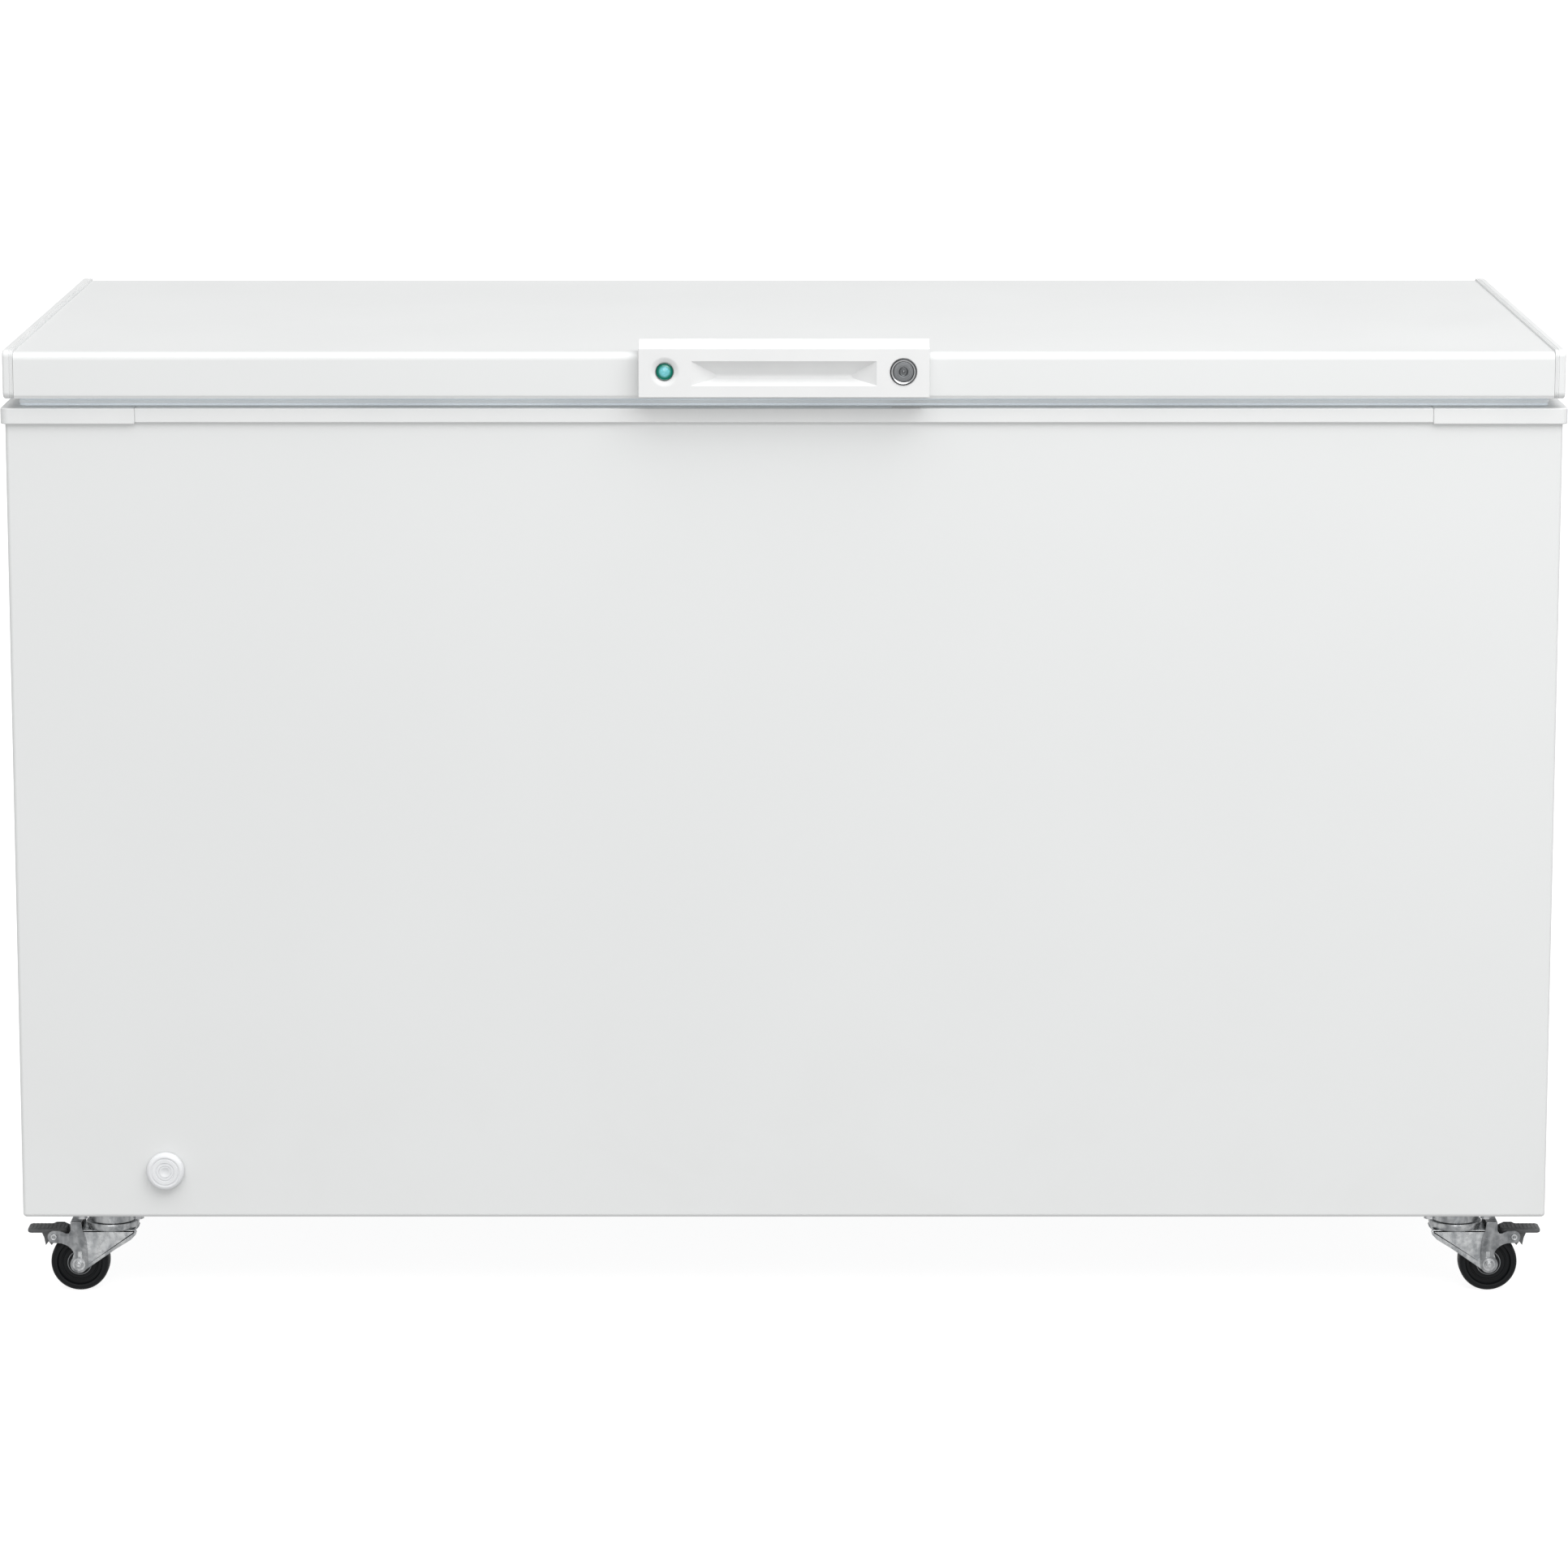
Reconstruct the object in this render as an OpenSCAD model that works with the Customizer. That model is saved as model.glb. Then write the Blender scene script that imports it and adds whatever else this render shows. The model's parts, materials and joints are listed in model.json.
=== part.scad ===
// Chest freezer: a foamed steel cabinet with a hinged lid, two hung baskets, a compressor
// bay under the right-hand end, and four swivel casters, the front pair with foot brakes.
// The origin is on the floor under the middle of the outline. The front faces -Y.

/* [Cabinet] */
// Width of the cabinet, and of the lid over its end caps
case_w = 1556; // [1300:1:1900]
// Depth of the cabinet, front sheet to back sheet
cab_d = 690; // [570:1:830]
// Height of the cabinet, underside to rim
cab_h = 833; // [690:1:1000]
// Thickness of the walls, outer sheet to the inside of the liner
wall_t = 73; // [60:1:90]
// Thickness of the floor, underside to the inside of the liner
floor_t = 70; // [56:1:90]
// Thickness of the painted steel sheets
sheet_t = 1; // [0.8:0.1:1.5]
// Thickness of the steel base plate
base_t = 3; // [2:0.5:5]
// Thickness of the inner liner
liner_t = 1.5; // [1:0.1:2.5]
// Radius of the cabinet's upright front edges
wrap_r = 4; // [3:0.5:12]
// Radius of the liner's upright corners
liner_r = 30; // [15:1:50]

/* [Rim trim] */
// How far the trim stands out from the cabinet's sheets
trim_out = 4; // [2:0.5:8]
// Height of the trim's outer lip
trim_h = 14.6; // [10:0.1:25]
// Thickness of the trim's top and of its inner lip
trim_t = 3; // [2:0.5:5]
// Length of a corner piece along each side
corner_len = 130; // [90:1:200]
// How much lower a corner piece reaches than its neighbours
corner_drop = 1.5; // [0:0.1:4]
// How much further out a corner piece stands
corner_out = 0.5; // [0:0.1:2]

/* [Lid] */
// How far the lid stands out in front of the cabinet
lid_over = 12; // [6:1:20]
// How far the lid's back stops short of the cabinet's back
lid_short = 2; // [0:0.5:6]
// Height of the lid's skirt
lid_h = 47; // [38:1:70]
// Gap between the rim and the lid's skirt
lid_gap = 10; // [8:0.5:14]
// Radius of the lid's long top edges
lid_r = 8; // [4:0.5:14]
// Width of an end cap
cap_w = 11; // [8:0.5:20]
// How far the end caps stand above the lid's panel
cap_rise = 2.3; // [0:0.1:5]
// Wall of an end cap
cap_wall = 2.5; // [1.5:0.1:4]
// Depth of the skirt's turned-in lower edge
hem_d = 12; // [8:1:20]
// Thickness of the lid's inner sheet
lid_liner_t = 2; // [1.5:0.1:3]
// How far the inner sheet's raised middle reaches into the opening
plug_drop = 26; // [20:1:40]
// Room between the raised middle and the opening
plug_room = 12; // [10:1:20]
// How far the gasket sits behind the trim's front edge
gasket_back = 17; // [10:1:30]
// Width of the gasket
gasket_w = 18; // [12:1:24]
// Room left under the gasket when the lid is shut
gasket_room = 0.3; // [0.2:0.1:1]

/* [Handle, light and lock] */
// Width of the handle
handle_w = 289; // [240:1:360]
// How far the handle stands out from the lid
handle_out = 19; // [14:0.5:28]
// How far the handle reaches below the lid's top
handle_below = 43; // [40:0.5:46]
// How far the handle's front edge stands above the lid's top
handle_above = 6.8; // [4:0.1:12]
// Rise of the handle's top towards the back
handle_rise = 6.9; // [3:0.1:10]
// Length of the finger recess
recess_w = 183; // [140:1:190]
// Height of the finger recess
recess_h = 24; // [18:1:28]
// Depth of the finger recess
recess_d = 16; // [12:0.5:17]
// Slant of the recess's ends, along the handle
recess_slant = 28; // [10:1:40]
// How far the light and the lock sit to each side
control_x = 118.5; // [110:0.5:125]
// How far the light and the lock sit below the lid's top
control_below = 17.3; // [14:0.1:24]
// Radius of the power light's lens
lens_r = 9.1; // [6:0.1:12]
// Radius of the shallow dish around the lens
dish_r = 15; // [12:0.1:18]
// Radius of the lock's housing
lock_r = 13.2; // [11:0.1:15]
// Radius of the lock's turning core
core_r = 10.3; // [8:0.1:10.5]
// How far the lock's ring stands out from the handle
bezel_out = 1.2; // [0.5:0.1:3]
// Length of the lock's cam
cam_len = 42; // [41:0.5:44]

/* [Hinges] */
// How far each hinge sits from the middle
hinge_x = 520; // [300:1:640]
// Width of a hinge
hinge_w = 60; // [50:1:90]
// How far the hinge's pin is behind the cabinet
pin_back = 20; // [18:1:30]
// How far the hinge's pin is above the rim
pin_up = 5; // [3:0.5:8]
// Radius of the hinge's pin
pin_r = 4; // [3:0.1:5]
// Radius of the hinge's knuckles
knuckle_r = 8; // [7:0.5:9]
// Thickness of the hinge's steel
hinge_t = 3; // [2:0.5:4]

/* [Compressor bay] */
// Width of the bay
bay_w = 257; // [230:1:320]
// Depth of the bay
bay_d = 366; // [320:1:400]
// Height of the bay
bay_h = 280; // [250:1:330]
// Thickness of the foam around the bay
bay_wall = 70; // [50:1:90]
// Radius of the compressor's shell
shell_r = 78; // [70:1:90]
// Height of the compressor's shell
shell_h = 190; // [160:1:210]

/* [Baskets and controls] */
// Length of a basket along the cabinet
basket_w = 300; // [200:1:340]
// Depth of a basket below its rim
basket_h = 200; // [150:1:240]
// Thickness of a basket's sides
basket_t = 5; // [4:0.5:8]
// Radius of the thermostat's knob
knob_r = 22; // [16:0.5:28]

/* [Drain] */
// How far the drain sits from the middle
drain_x = 631; // [560:1:660]
// Height of the drain's outlet above the cabinet's underside
drain_up = 50; // [30:1:52]
// Bore radius of the drain tube
drain_r = 9.5; // [7:0.5:11]
// Wall of the drain tube
drain_wall = 2.5; // [2:0.5:3]
// Radius of the drain plug's cap
plug_cap_r = 19.2; // [18:0.1:26]

/* [Casters] */
// Diameter of a wheel
wheel_d = 60; // [50:1:72]
// Width of a wheel
wheel_w = 25; // [20:1:30]
// Height between a wheel's top and the cabinet's underside
swivel_h = 27; // [26:0.5:40]
// How far a wheel trails behind its swivel's axis
trail = 34; // [32:0.5:36]
// How far a swivel's axis is from the cabinet's side
caster_in_x = 87; // [80:1:140]
// How far a swivel's axis is from the cabinet's front or back
caster_in_y = 45.5; // [42:0.5:80]
// Radius of an axle
axle_r = 4; // [3:0.5:5]
// Thickness of the fork's steel
fork_t = 2.5; // [2:0.1:3]

/* [Hidden] */
$fn = 48;

// Overlap that lets a cut run clear of the face it opens
eps = 1;
// Radial clearance of a shaft or stem in its bore
run_fit = 0.05;
// Room between faces that pass each other
slide_fit = 0.3;
// Room around a piece that is bedded in foam
bed_fit = 0.2;

// Main planes, with Y = 0 midway between the lock's ring and the hinges' knuckles
total_d = handle_out + bezel_out + lid_over + cab_d + pin_back + knuckle_r;
lid_y0 = -total_d / 2 + handle_out + bezel_out;
cab_x = case_w / 2;
cab_y0 = lid_y0 + lid_over;
cab_y1 = cab_y0 + cab_d;
lid_y1 = cab_y1 - lid_short;
ground_h = wheel_d + swivel_h;
rim_z = ground_h + cab_h;
wall_z = rim_z - trim_t;
foam_z0 = ground_h + base_t;
lid_z0 = rim_z + lid_gap;
lid_z1 = lid_z0 + lid_h;

// Inside of the liner
in_x = cab_x - wall_t;
in_y0 = cab_y0 + wall_t;
in_y1 = cab_y1 - wall_t;
in_z0 = ground_h + floor_t;

// Compressor bay, and the step that it makes in the liner
bay_x1 = cab_x - sheet_t;
bay_x0 = bay_x1 - bay_w;
bay_y1 = cab_y1 - sheet_t;
bay_y0 = bay_y1 - bay_d;
bay_z1 = foam_z0 + bay_h;
step_x = bay_x0 - bay_wall;
step_z = bay_z1 + bay_wall;

// Opening inside the trim
open_x = in_x - trim_t;
open_y0 = in_y0 + trim_t;
open_y1 = in_y1 - trim_t;

// Lid
panel_x = cab_x - cap_w;
lid_sheet_z = lid_z0 + sheet_t;
lid_foam_z0 = lid_sheet_z + lid_liner_t;
plug_x = open_x - plug_room;
plug_y0 = open_y0 + plug_room;
plug_y1 = open_y1 - plug_room;
plug_z = lid_sheet_z - plug_drop;
gasket_x = cab_x + trim_out - gasket_back + 1;
gasket_y0 = cab_y0 - trim_out + gasket_back;
gasket_y1 = cab_y1 + trim_out - gasket_back;
gasket_r = 8;

// Handle, light and lock
handle_y0 = lid_y0 - handle_out;
handle_z0 = lid_z1 - handle_below;
handle_z1 = lid_z1 + handle_above;
handle_lap = lid_r - 0.5;
control_z = lid_z1 - control_below;
recess_z1 = lid_z1 - 7;
recess_deep_z = recess_z1 - 0.7 * recess_h;
lens_depth = 7;
dish_depth = 2.5;
cam_t = 3;
cam_w = 16;
core_y1 = lid_y0 + 19;
cam_y0 = core_y1 - cam_t;
housing_y1 = cam_y0 - slide_fit;
cam_room = 2;
cam_tip = sqrt(cam_len * cam_len + cam_w * cam_w / 4);

// Hinges
pin_y = cab_y1 + pin_back;
pin_z = rim_z + pin_up;
leaf_w = hinge_w - 10;
arm_w = 16;
arm_gap = 0.5;
spring_r = knuckle_r - 1.5;
bracket_z1 = rim_z - trim_h - 4;
bracket_h = 64;

// Skin coils: bends, pitch and how far they run back
coil_r = 4;
coil_half = coil_r + bed_fit;
coil_count = 5;
coil_back = 34;
evap_z = step_z + 60;
evap_pitch = (wall_z - evap_z - 80) / (coil_count - 1);
cond_z = step_z - 10;
cond_pitch = (wall_z - cond_z - 60) / (coil_count - 1);

// Compressor
shell_x = (bay_x0 + bay_x1) / 2;
shell_y = bay_y1 - shell_r - 58;
grommet_h = 14;
grommet_r = 11;
foot_w = 210;
foot_d = 100;
foot_t = 3;
shell_z0 = foam_z0 + grommet_h + foot_t;
shell_round = 34;
relay_d = 24;
pad_out = 4;
stub_out = 6;
pipe_r = 4;
port_z = shell_z0 + 0.55 * shell_h;
pipe_x0 = bay_x0 + 24;
pipe_x1 = bay_x1 - 22;

// Vent grille in the right-hand side
vent_y0 = bay_y0 + 60;
vent_y1 = bay_y1 - 26;
vent_z0 = foam_z0 + 30;
vent_z1 = bay_z1 - 30;
vent_flange = 10;
vent_out = 3;
vent_deep = 4;
vent_slots = 11;

// Service opening in the back, and the cord's gland beside it
service_x0 = bay_x0 + 22;
service_x1 = bay_x1 - 18;
service_z0 = foam_z0 + 8;
service_z1 = bay_z1 - 24;
gland_x = bay_x0 + 11;
gland_z = foam_z0 + 90;
gland_r = 6.5;
gland_flange_r = 10;

// Thermostat on the liner's right-hand wall
stat_y = in_y0 + 160;
stat_z = step_z + 120;
stat_half = 40;
stat_out = 18;
knob_t = 15;
knob_shaft_r = 5;
knob_shaft = 10;

// Baskets hang in the gap beside the lid's raised middle
basket_y0 = open_y0 + (plug_room - basket_t) / 3;
basket_y1 = open_y1 - (plug_room - basket_t) / 3;
basket_z1 = plug_z - 5;
basket_z0 = basket_z1 - basket_h;
hook_t = 4;
hook_w = 14;
hook_count = 3;
hook_lap = 14;
hook_z0 = rim_z + slide_fit;

// Drain, from the liner's floor to the front sheet
drain_z = ground_h + drain_up;
drain_y = in_y0 + 30;
drain_out_r = drain_r + drain_wall;
drain_flange_r = drain_out_r + 5;
drain_flange_t = 2;
plug_cap_t = 8;
plug_stem = 24;
stopper_r = 15;
stopper_t = 4;
stopper_stem = 13;

// Casters, in a frame with the swivel's axis at the origin and the wheel towards -X
wheel_r = wheel_d / 2;
axle_z = wheel_r;
axis_x = cab_x - caster_in_x;
axis_y0 = cab_y0 + caster_in_y;
axis_y1 = cab_y1 - caster_in_y;
leg_y = wheel_w / 2 + 2;
leg_out = leg_y + fork_t;
crown_z0 = wheel_d + 3;
crown_z1 = crown_z0 + 3;
cup_r = 27;
cup_h = 8;
race_r = 24;
race_z0 = crown_z1 + cup_h + 0.5;
plate_t = 2.5;
plate_w = 76;
plate_d = 64;
bolt_dx = 29;
bolt_dy = 24;
bolt_r = 3;
bolt_head_r = 5.5;
bolt_head_t = 4;
king_r = 6;
king_head_r = 9;
king_head_t = 4.5;
boss_r = 9;
nut_r = 7;
nut_t = 6;
tip_out = 2.5;
bracket_t = 2;

// Foot brake, placed from the wheel's centre
brake_x = -trail - 25.4;
brake_z = axle_z + 29 + (wheel_r - 30);
ear_r = 6.3;
brake_pin_r = 3;
sleeve_r = 5;
pedal_len = 41;
pedal_t = 4;
pedal_d = 24;
tooth_reach = 11.5;

// ---------- shared shapes ----------

module block(x0, x1, y0, y1, z0, z1) {
    translate([x0, y0, z0]) cube([x1 - x0, y1 - y0, z1 - z0]);
}

module rounded_rect(x0, x1, y0, y1, r) {
    translate([x0 + r, y0]) square([x1 - x0 - 2 * r, y1 - y0]);
    translate([x0, y0 + r]) square([x1 - x0, y1 - y0 - 2 * r]);
    for (x = [x0 + r, x1 - r], y = [y0 + r, y1 - r])
        translate([x, y]) circle(r = r);
}

module rounded_block(x0, x1, y0, y1, z0, z1, r) {
    translate([0, 0, z0]) linear_extrude(z1 - z0) rounded_rect(x0, x1, y0, y1, r);
}

// Sweeps a (Y, Z) outline along X
module along_x(x0, x1) {
    translate([x0, 0, 0]) rotate([90, 0, 90]) linear_extrude(x1 - x0) children();
}

// Sweeps an (X, Z) outline along Y
module along_y(y0, y1) {
    translate([0, y1, 0]) rotate([90, 0, 0]) linear_extrude(y1 - y0) children();
}

module bar_x(x0, x1, y, z, r) {
    translate([x0, y, z]) rotate([0, 90, 0]) cylinder(h = x1 - x0, r = r);
}

module bar_y(x, y0, y1, z, r) {
    translate([x, y1, z]) rotate([90, 0, 0]) cylinder(h = y1 - y0, r = r);
}

module bar_z(x, y, z0, z1, r) {
    translate([x, y, z0]) cylinder(h = z1 - z0, r = r);
}

// A round pipe through a list of points, with ball joints at its bends
module pipe(points, r) {
    last = len(points) - 1;
    for (i = [0 : last - 1]) {
        d = points[i + 1] - points[i];
        tilt = acos(d.z / norm(d));
        translate(points[i]) rotate([0, tilt, atan2(d.y, d.x)]) cylinder(h = norm(d), r = r);
    }
    for (i = [1 : last - 1])
        translate(points[i]) sphere(r = r);
}

// Passes round three walls, joined at the back by a riser on alternate sides
function coil_points(x, y0, y1, z, pitch) = [
    for (i = [0 : coil_count - 1], k = [0 : 3])
        let (side = (i % 2 == 0 ? 1 : -1) * (k < 2 ? -1 : 1))
        [side * x, (k == 0 || k == 3) ? y1 : y0, z + i * pitch]];

// ---------- cabinet ----------

module liner_space(grow, z1) {
    difference() {
        rounded_block(-in_x - grow, in_x + grow, in_y0 - grow, in_y1 + grow,
            in_z0 - grow, z1, liner_r + grow);
        block(step_x + grow * -1, cab_x, cab_y0, cab_y1, ground_h, step_z - grow);
    }
}

module drain_passage(r) {
    bar_z(-drain_x, drain_y, drain_z, in_z0 + eps, r);
    translate([-drain_x, drain_y, drain_z]) sphere(r = r);
    bar_y(-drain_x, cab_y0 - 2 * drain_flange_t, drain_y, drain_z, r);
}

module cabinet_wrapper() {
    color("white") difference() {
        rounded_block(-cab_x, cab_x, cab_y0, cab_y1, ground_h, wall_z, wrap_r);
        rounded_block(-cab_x + sheet_t, cab_x - sheet_t, cab_y0 + sheet_t, cab_y1 + 2 * wrap_r,
            ground_h - eps, wall_z + eps, wrap_r - sheet_t);
        block(-cab_x - eps, cab_x + eps, cab_y1 - sheet_t, cab_y1 + eps,
            ground_h - eps, wall_z + eps);
        drain_passage(drain_out_r);
        block(bay_x1 - eps, cab_x + eps, vent_y0, vent_y1, vent_z0, vent_z1);
    }
}

module back_panel() {
    color("gainsboro") difference() {
        intersection() {
            rounded_block(-cab_x, cab_x, cab_y0, cab_y1, ground_h, wall_z, wrap_r);
            block(-cab_x, cab_x, cab_y1 - sheet_t, cab_y1, ground_h, wall_z);
        }
        block(service_x0, service_x1, cab_y1 - sheet_t - eps, cab_y1 + eps,
            service_z0, service_z1);
        bar_y(gland_x, cab_y1 - sheet_t - eps, cab_y1 + eps, gland_z, gland_r);
    }
}

module bolt_places() {
    for (sx = [-1, 1], y = [axis_y0, axis_y1], bx = [-1, 1], by = [-1, 1])
        translate([sx * axis_x + bx * bolt_dx, y + by * bolt_dy, 0]) children();
}

module cabinet_base() {
    color("silver") difference() {
        rounded_block(-cab_x + sheet_t, cab_x - sheet_t, cab_y0 + sheet_t,
            cab_y1 - sheet_t, ground_h, foam_z0, wrap_r - sheet_t);
        bolt_places() bar_z(0, 0, ground_h - eps, foam_z0 + eps, bolt_r);
    }
}

module coil_slots() {
    for (i = [0 : coil_count - 1]) {
        ez = evap_z + i * evap_pitch;
        cz = cond_z + i * cond_pitch;
        rounded_block(-in_x - liner_t - 2 * coil_half, in_x + liner_t + 2 * coil_half,
            in_y0 - liner_t - 2 * coil_half, in_y1 - coil_back + coil_half,
            ez - coil_half, ez + coil_half, coil_half);
        difference() {
            block(-cab_x, cab_x, cab_y0, in_y1 - coil_back + coil_half,
                cz - coil_half, cz + coil_half);
            block(-cab_x + sheet_t + 2 * coil_half, cab_x - sheet_t - 2 * coil_half,
                cab_y0 + sheet_t + 2 * coil_half, cab_y1, cz - 2 * coil_half, cz + 2 * coil_half);
        }
    }
    for (side = [-1, 1], c = [[in_x + liner_t + coil_half, evap_z, evap_pitch],
            [cab_x - sheet_t - coil_half, cond_z, cond_pitch]])
        translate([side * c[0] - coil_half, in_y1 - coil_back - coil_half, c[1]])
            cube([2 * coil_half, 2 * coil_half, (coil_count - 1) * c[2]]);
}

module cabinet_foam() {
    color("khaki") difference() {
        rounded_block(-cab_x + sheet_t, cab_x - sheet_t, cab_y0 + sheet_t,
            cab_y1 - sheet_t, foam_z0, wall_z, wrap_r - sheet_t);
        liner_space(liner_t, wall_z + eps);
        block(bay_x0, cab_x, bay_y0, cab_y1, ground_h, bay_z1);
        coil_slots();
        drain_passage(drain_out_r);
    }
}

module inner_liner() {
    color("whitesmoke") difference() {
        liner_space(liner_t, wall_z);
        liner_space(0, wall_z + eps);
        drain_passage(drain_r);
    }
}

module trim_ring(out, h) {
    difference() {
        rounded_block(-cab_x - out, cab_x + out, cab_y0 - out, cab_y1 + out,
            rim_z - h, rim_z, wrap_r + out);
        difference() {
            rounded_block(-cab_x, cab_x, cab_y0, cab_y1, rim_z - h - eps, wall_z, wrap_r);
            rounded_block(-in_x, in_x, in_y0, in_y1, rim_z - h - 2 * eps, rim_z, liner_r);
        }
        rounded_block(-open_x, open_x, open_y0, open_y1, rim_z - h - 3 * eps, rim_z + eps,
            liner_r - trim_t);
    }
}

corner_x = cab_x - corner_len;
corner_y0 = cab_y0 + corner_len;
corner_y1 = cab_y1 - corner_len;
far = 2 * cab_x;

module trim_piece(x0, x1, y0, y1) {
    color("white") intersection() {
        trim_ring(trim_out, trim_h);
        block(x0, x1, y0, y1, 0, 2 * rim_z);
    }
}

module trim_corner(x0, x1, y0, y1) {
    color("white") intersection() {
        trim_ring(trim_out + corner_out, trim_h + corner_drop);
        block(x0, x1, y0, y1, 0, 2 * rim_z);
    }
}

module trim_front() {
    cam_drop = control_z - rim_z;
    reach = sqrt(cam_tip * cam_tip - cam_drop * cam_drop) + cam_room;
    difference() {
        trim_piece(-corner_x, corner_x, -far, 0);
        color("white") block(control_x - cam_w / 2 - cam_room, control_x + reach,
            cam_y0 - cam_room, core_y1 + cam_room, wall_z - eps, rim_z + eps);
    }
}

module trim_back() {
    trim_piece(-corner_x, corner_x, 0, far);
}

module trim_left() {
    trim_piece(-far, 0, corner_y0, corner_y1);
}

module trim_right() {
    trim_piece(0, far, corner_y0, corner_y1);
}

module trim_corner_front_left() {
    trim_corner(-far, -corner_x, -far, corner_y0);
}

module trim_corner_front_right() {
    trim_corner(corner_x, far, -far, corner_y0);
}

module trim_corner_back_left() {
    trim_corner(-far, -corner_x, corner_y1, far);
}

module trim_corner_back_right() {
    trim_corner(corner_x, far, corner_y1, far);
}

// ---------- cooling ----------

module evaporator_coil() {
    color("peru") pipe(coil_points(in_x + liner_t + coil_half, in_y0 - liner_t - coil_half,
        in_y1 - coil_back, evap_z, evap_pitch), coil_r);
}

module condenser_coil() {
    color("sienna") pipe(coil_points(cab_x - sheet_t - coil_half, cab_y0 + sheet_t + coil_half,
        in_y1 - coil_back, cond_z, cond_pitch), coil_r);
}

module compressor() {
    color("dimgray") difference() {
        union() {
            translate([shell_x, shell_y, shell_z0]) rotate_extrude() intersection() {
                rounded_rect(-shell_r, shell_r, 0, shell_h, shell_round);
                square([shell_r, shell_h]);
            }
            bar_z(shell_x, shell_y, shell_z0 + 0.45 * shell_h, shell_z0 + 0.47 * shell_h,
                shell_r + 4);
            block(shell_x - foot_w / 2, shell_x + foot_w / 2, shell_y - foot_d / 2,
                shell_y + foot_d / 2, shell_z0 - foot_t, shell_z0);
            block(shell_x - 22, shell_x + 22, shell_y - shell_r - pad_out,
                shell_y - shell_r + 20, shell_z0 + 50, shell_z0 + 82);
            bar_x(shell_x - shell_r - stub_out, shell_x, shell_y, port_z, pipe_r + 3);
            bar_x(shell_x, shell_x + shell_r + stub_out, shell_y, port_z, pipe_r + 3);
        }
        grommet_places() bar_z(0, 0, shell_z0 - foot_t - eps, shell_z0 + eps, grommet_r - 5);
    }
}

module grommet_places() {
    for (sx = [-1, 1], sy = [-1, 1])
        translate([shell_x + sx * (foot_w / 2 - 16), shell_y + sy * (foot_d / 2 - 16), 0])
            children();
}

module compressor_grommets() {
    color("black") grommet_places() difference() {
        union() {
            bar_z(0, 0, foam_z0, foam_z0 + grommet_h, grommet_r);
            bar_z(0, 0, foam_z0, shell_z0, grommet_r - 5);
            bar_z(0, 0, shell_z0, shell_z0 + 4, grommet_r - 2);
        }
        bar_z(0, 0, foam_z0 - eps, shell_z0 + 4 + eps, 3);
    }
}

module start_relay() {
    color("black") difference() {
        block(shell_x - 28, shell_x + 28, shell_y - shell_r - pad_out - relay_d,
            shell_y - shell_r - pad_out, shell_z0 + 36, shell_z0 + 96);
        block(shell_x - 8, shell_x + 8, shell_y - shell_r - pad_out - relay_d - eps,
            shell_y - shell_r - pad_out - relay_d + 5, shell_z0 + 36 - eps, shell_z0 + 52);
    }
}

module refrigerant_pipes() {
    low = port_z + 20;
    high = bay_z1 - 30;
    left = shell_x - shell_r - stub_out;
    right = shell_x + shell_r + stub_out;
    color("peru") {
        pipe([[left, shell_y, port_z], [pipe_x0, shell_y, port_z],
            [pipe_x0, shell_y - 120, low], [pipe_x0, shell_y - 120, high],
            [pipe_x0, bay_y0, high]], pipe_r);
        pipe([[right, shell_y, port_z], [pipe_x1, shell_y, port_z],
            [pipe_x1, shell_y - 60, low], [pipe_x1, shell_y - 60, bay_z1]], pipe_r);
    }
}

module vent_grille() {
    slot_pitch = (vent_z1 - vent_z0) / vent_slots;
    slot_h = slot_pitch / 2;
    color("white") difference() {
        union() {
            block(cab_x, cab_x + vent_out, vent_y0 - vent_flange, vent_y1 + vent_flange,
                vent_z0 - vent_flange, vent_z1 + vent_flange);
            block(cab_x - vent_deep, cab_x + eps / 2, vent_y0 + slide_fit, vent_y1 - slide_fit,
                vent_z0 + slide_fit, vent_z1 - slide_fit);
        }
        for (i = [0 : vent_slots - 1])
            block(cab_x - vent_deep - eps, cab_x + vent_out + eps, vent_y0 + 8, vent_y1 - 8,
                vent_z0 + (i + 0.25) * slot_pitch, vent_z0 + (i + 0.25) * slot_pitch + slot_h);
    }
}

module cord_gland() {
    color("black") difference() {
        union() {
            bar_y(gland_x, cab_y1 - 8, cab_y1 + 9, gland_z, gland_r);
            bar_y(gland_x, cab_y1, cab_y1 + 3, gland_z, gland_flange_r);
        }
        bar_y(gland_x, cab_y1 - 8 - eps, cab_y1 + 9 + eps, gland_z, 3.5);
    }
}

module thermostat_housing() {
    color("whitesmoke") difference() {
        block(in_x - stat_out, in_x, stat_y - stat_half, stat_y + stat_half,
            stat_z - stat_half, stat_z + stat_half);
        bar_x(in_x - stat_out - eps, in_x - stat_out + knob_shaft + 2, stat_y, stat_z,
            knob_shaft_r + run_fit);
    }
}

module thermostat_knob() {
    face_x = in_x - stat_out - slide_fit;
    color("silver") difference() {
        union() {
            bar_x(face_x - knob_t, face_x, stat_y, stat_z, knob_r);
            bar_x(face_x - eps, face_x + knob_shaft, stat_y, stat_z, knob_shaft_r);
        }
        for (side = [-1, 1])
            translate([face_x - knob_t - eps, stat_y, stat_z]) rotate([45, 0, 0])
                translate([0, side > 0 ? 5 : -knob_r - 5, -knob_r])
                    cube([knob_t - 5, knob_r, 2 * knob_r]);
    }
}

// ---------- drain ----------

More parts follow.
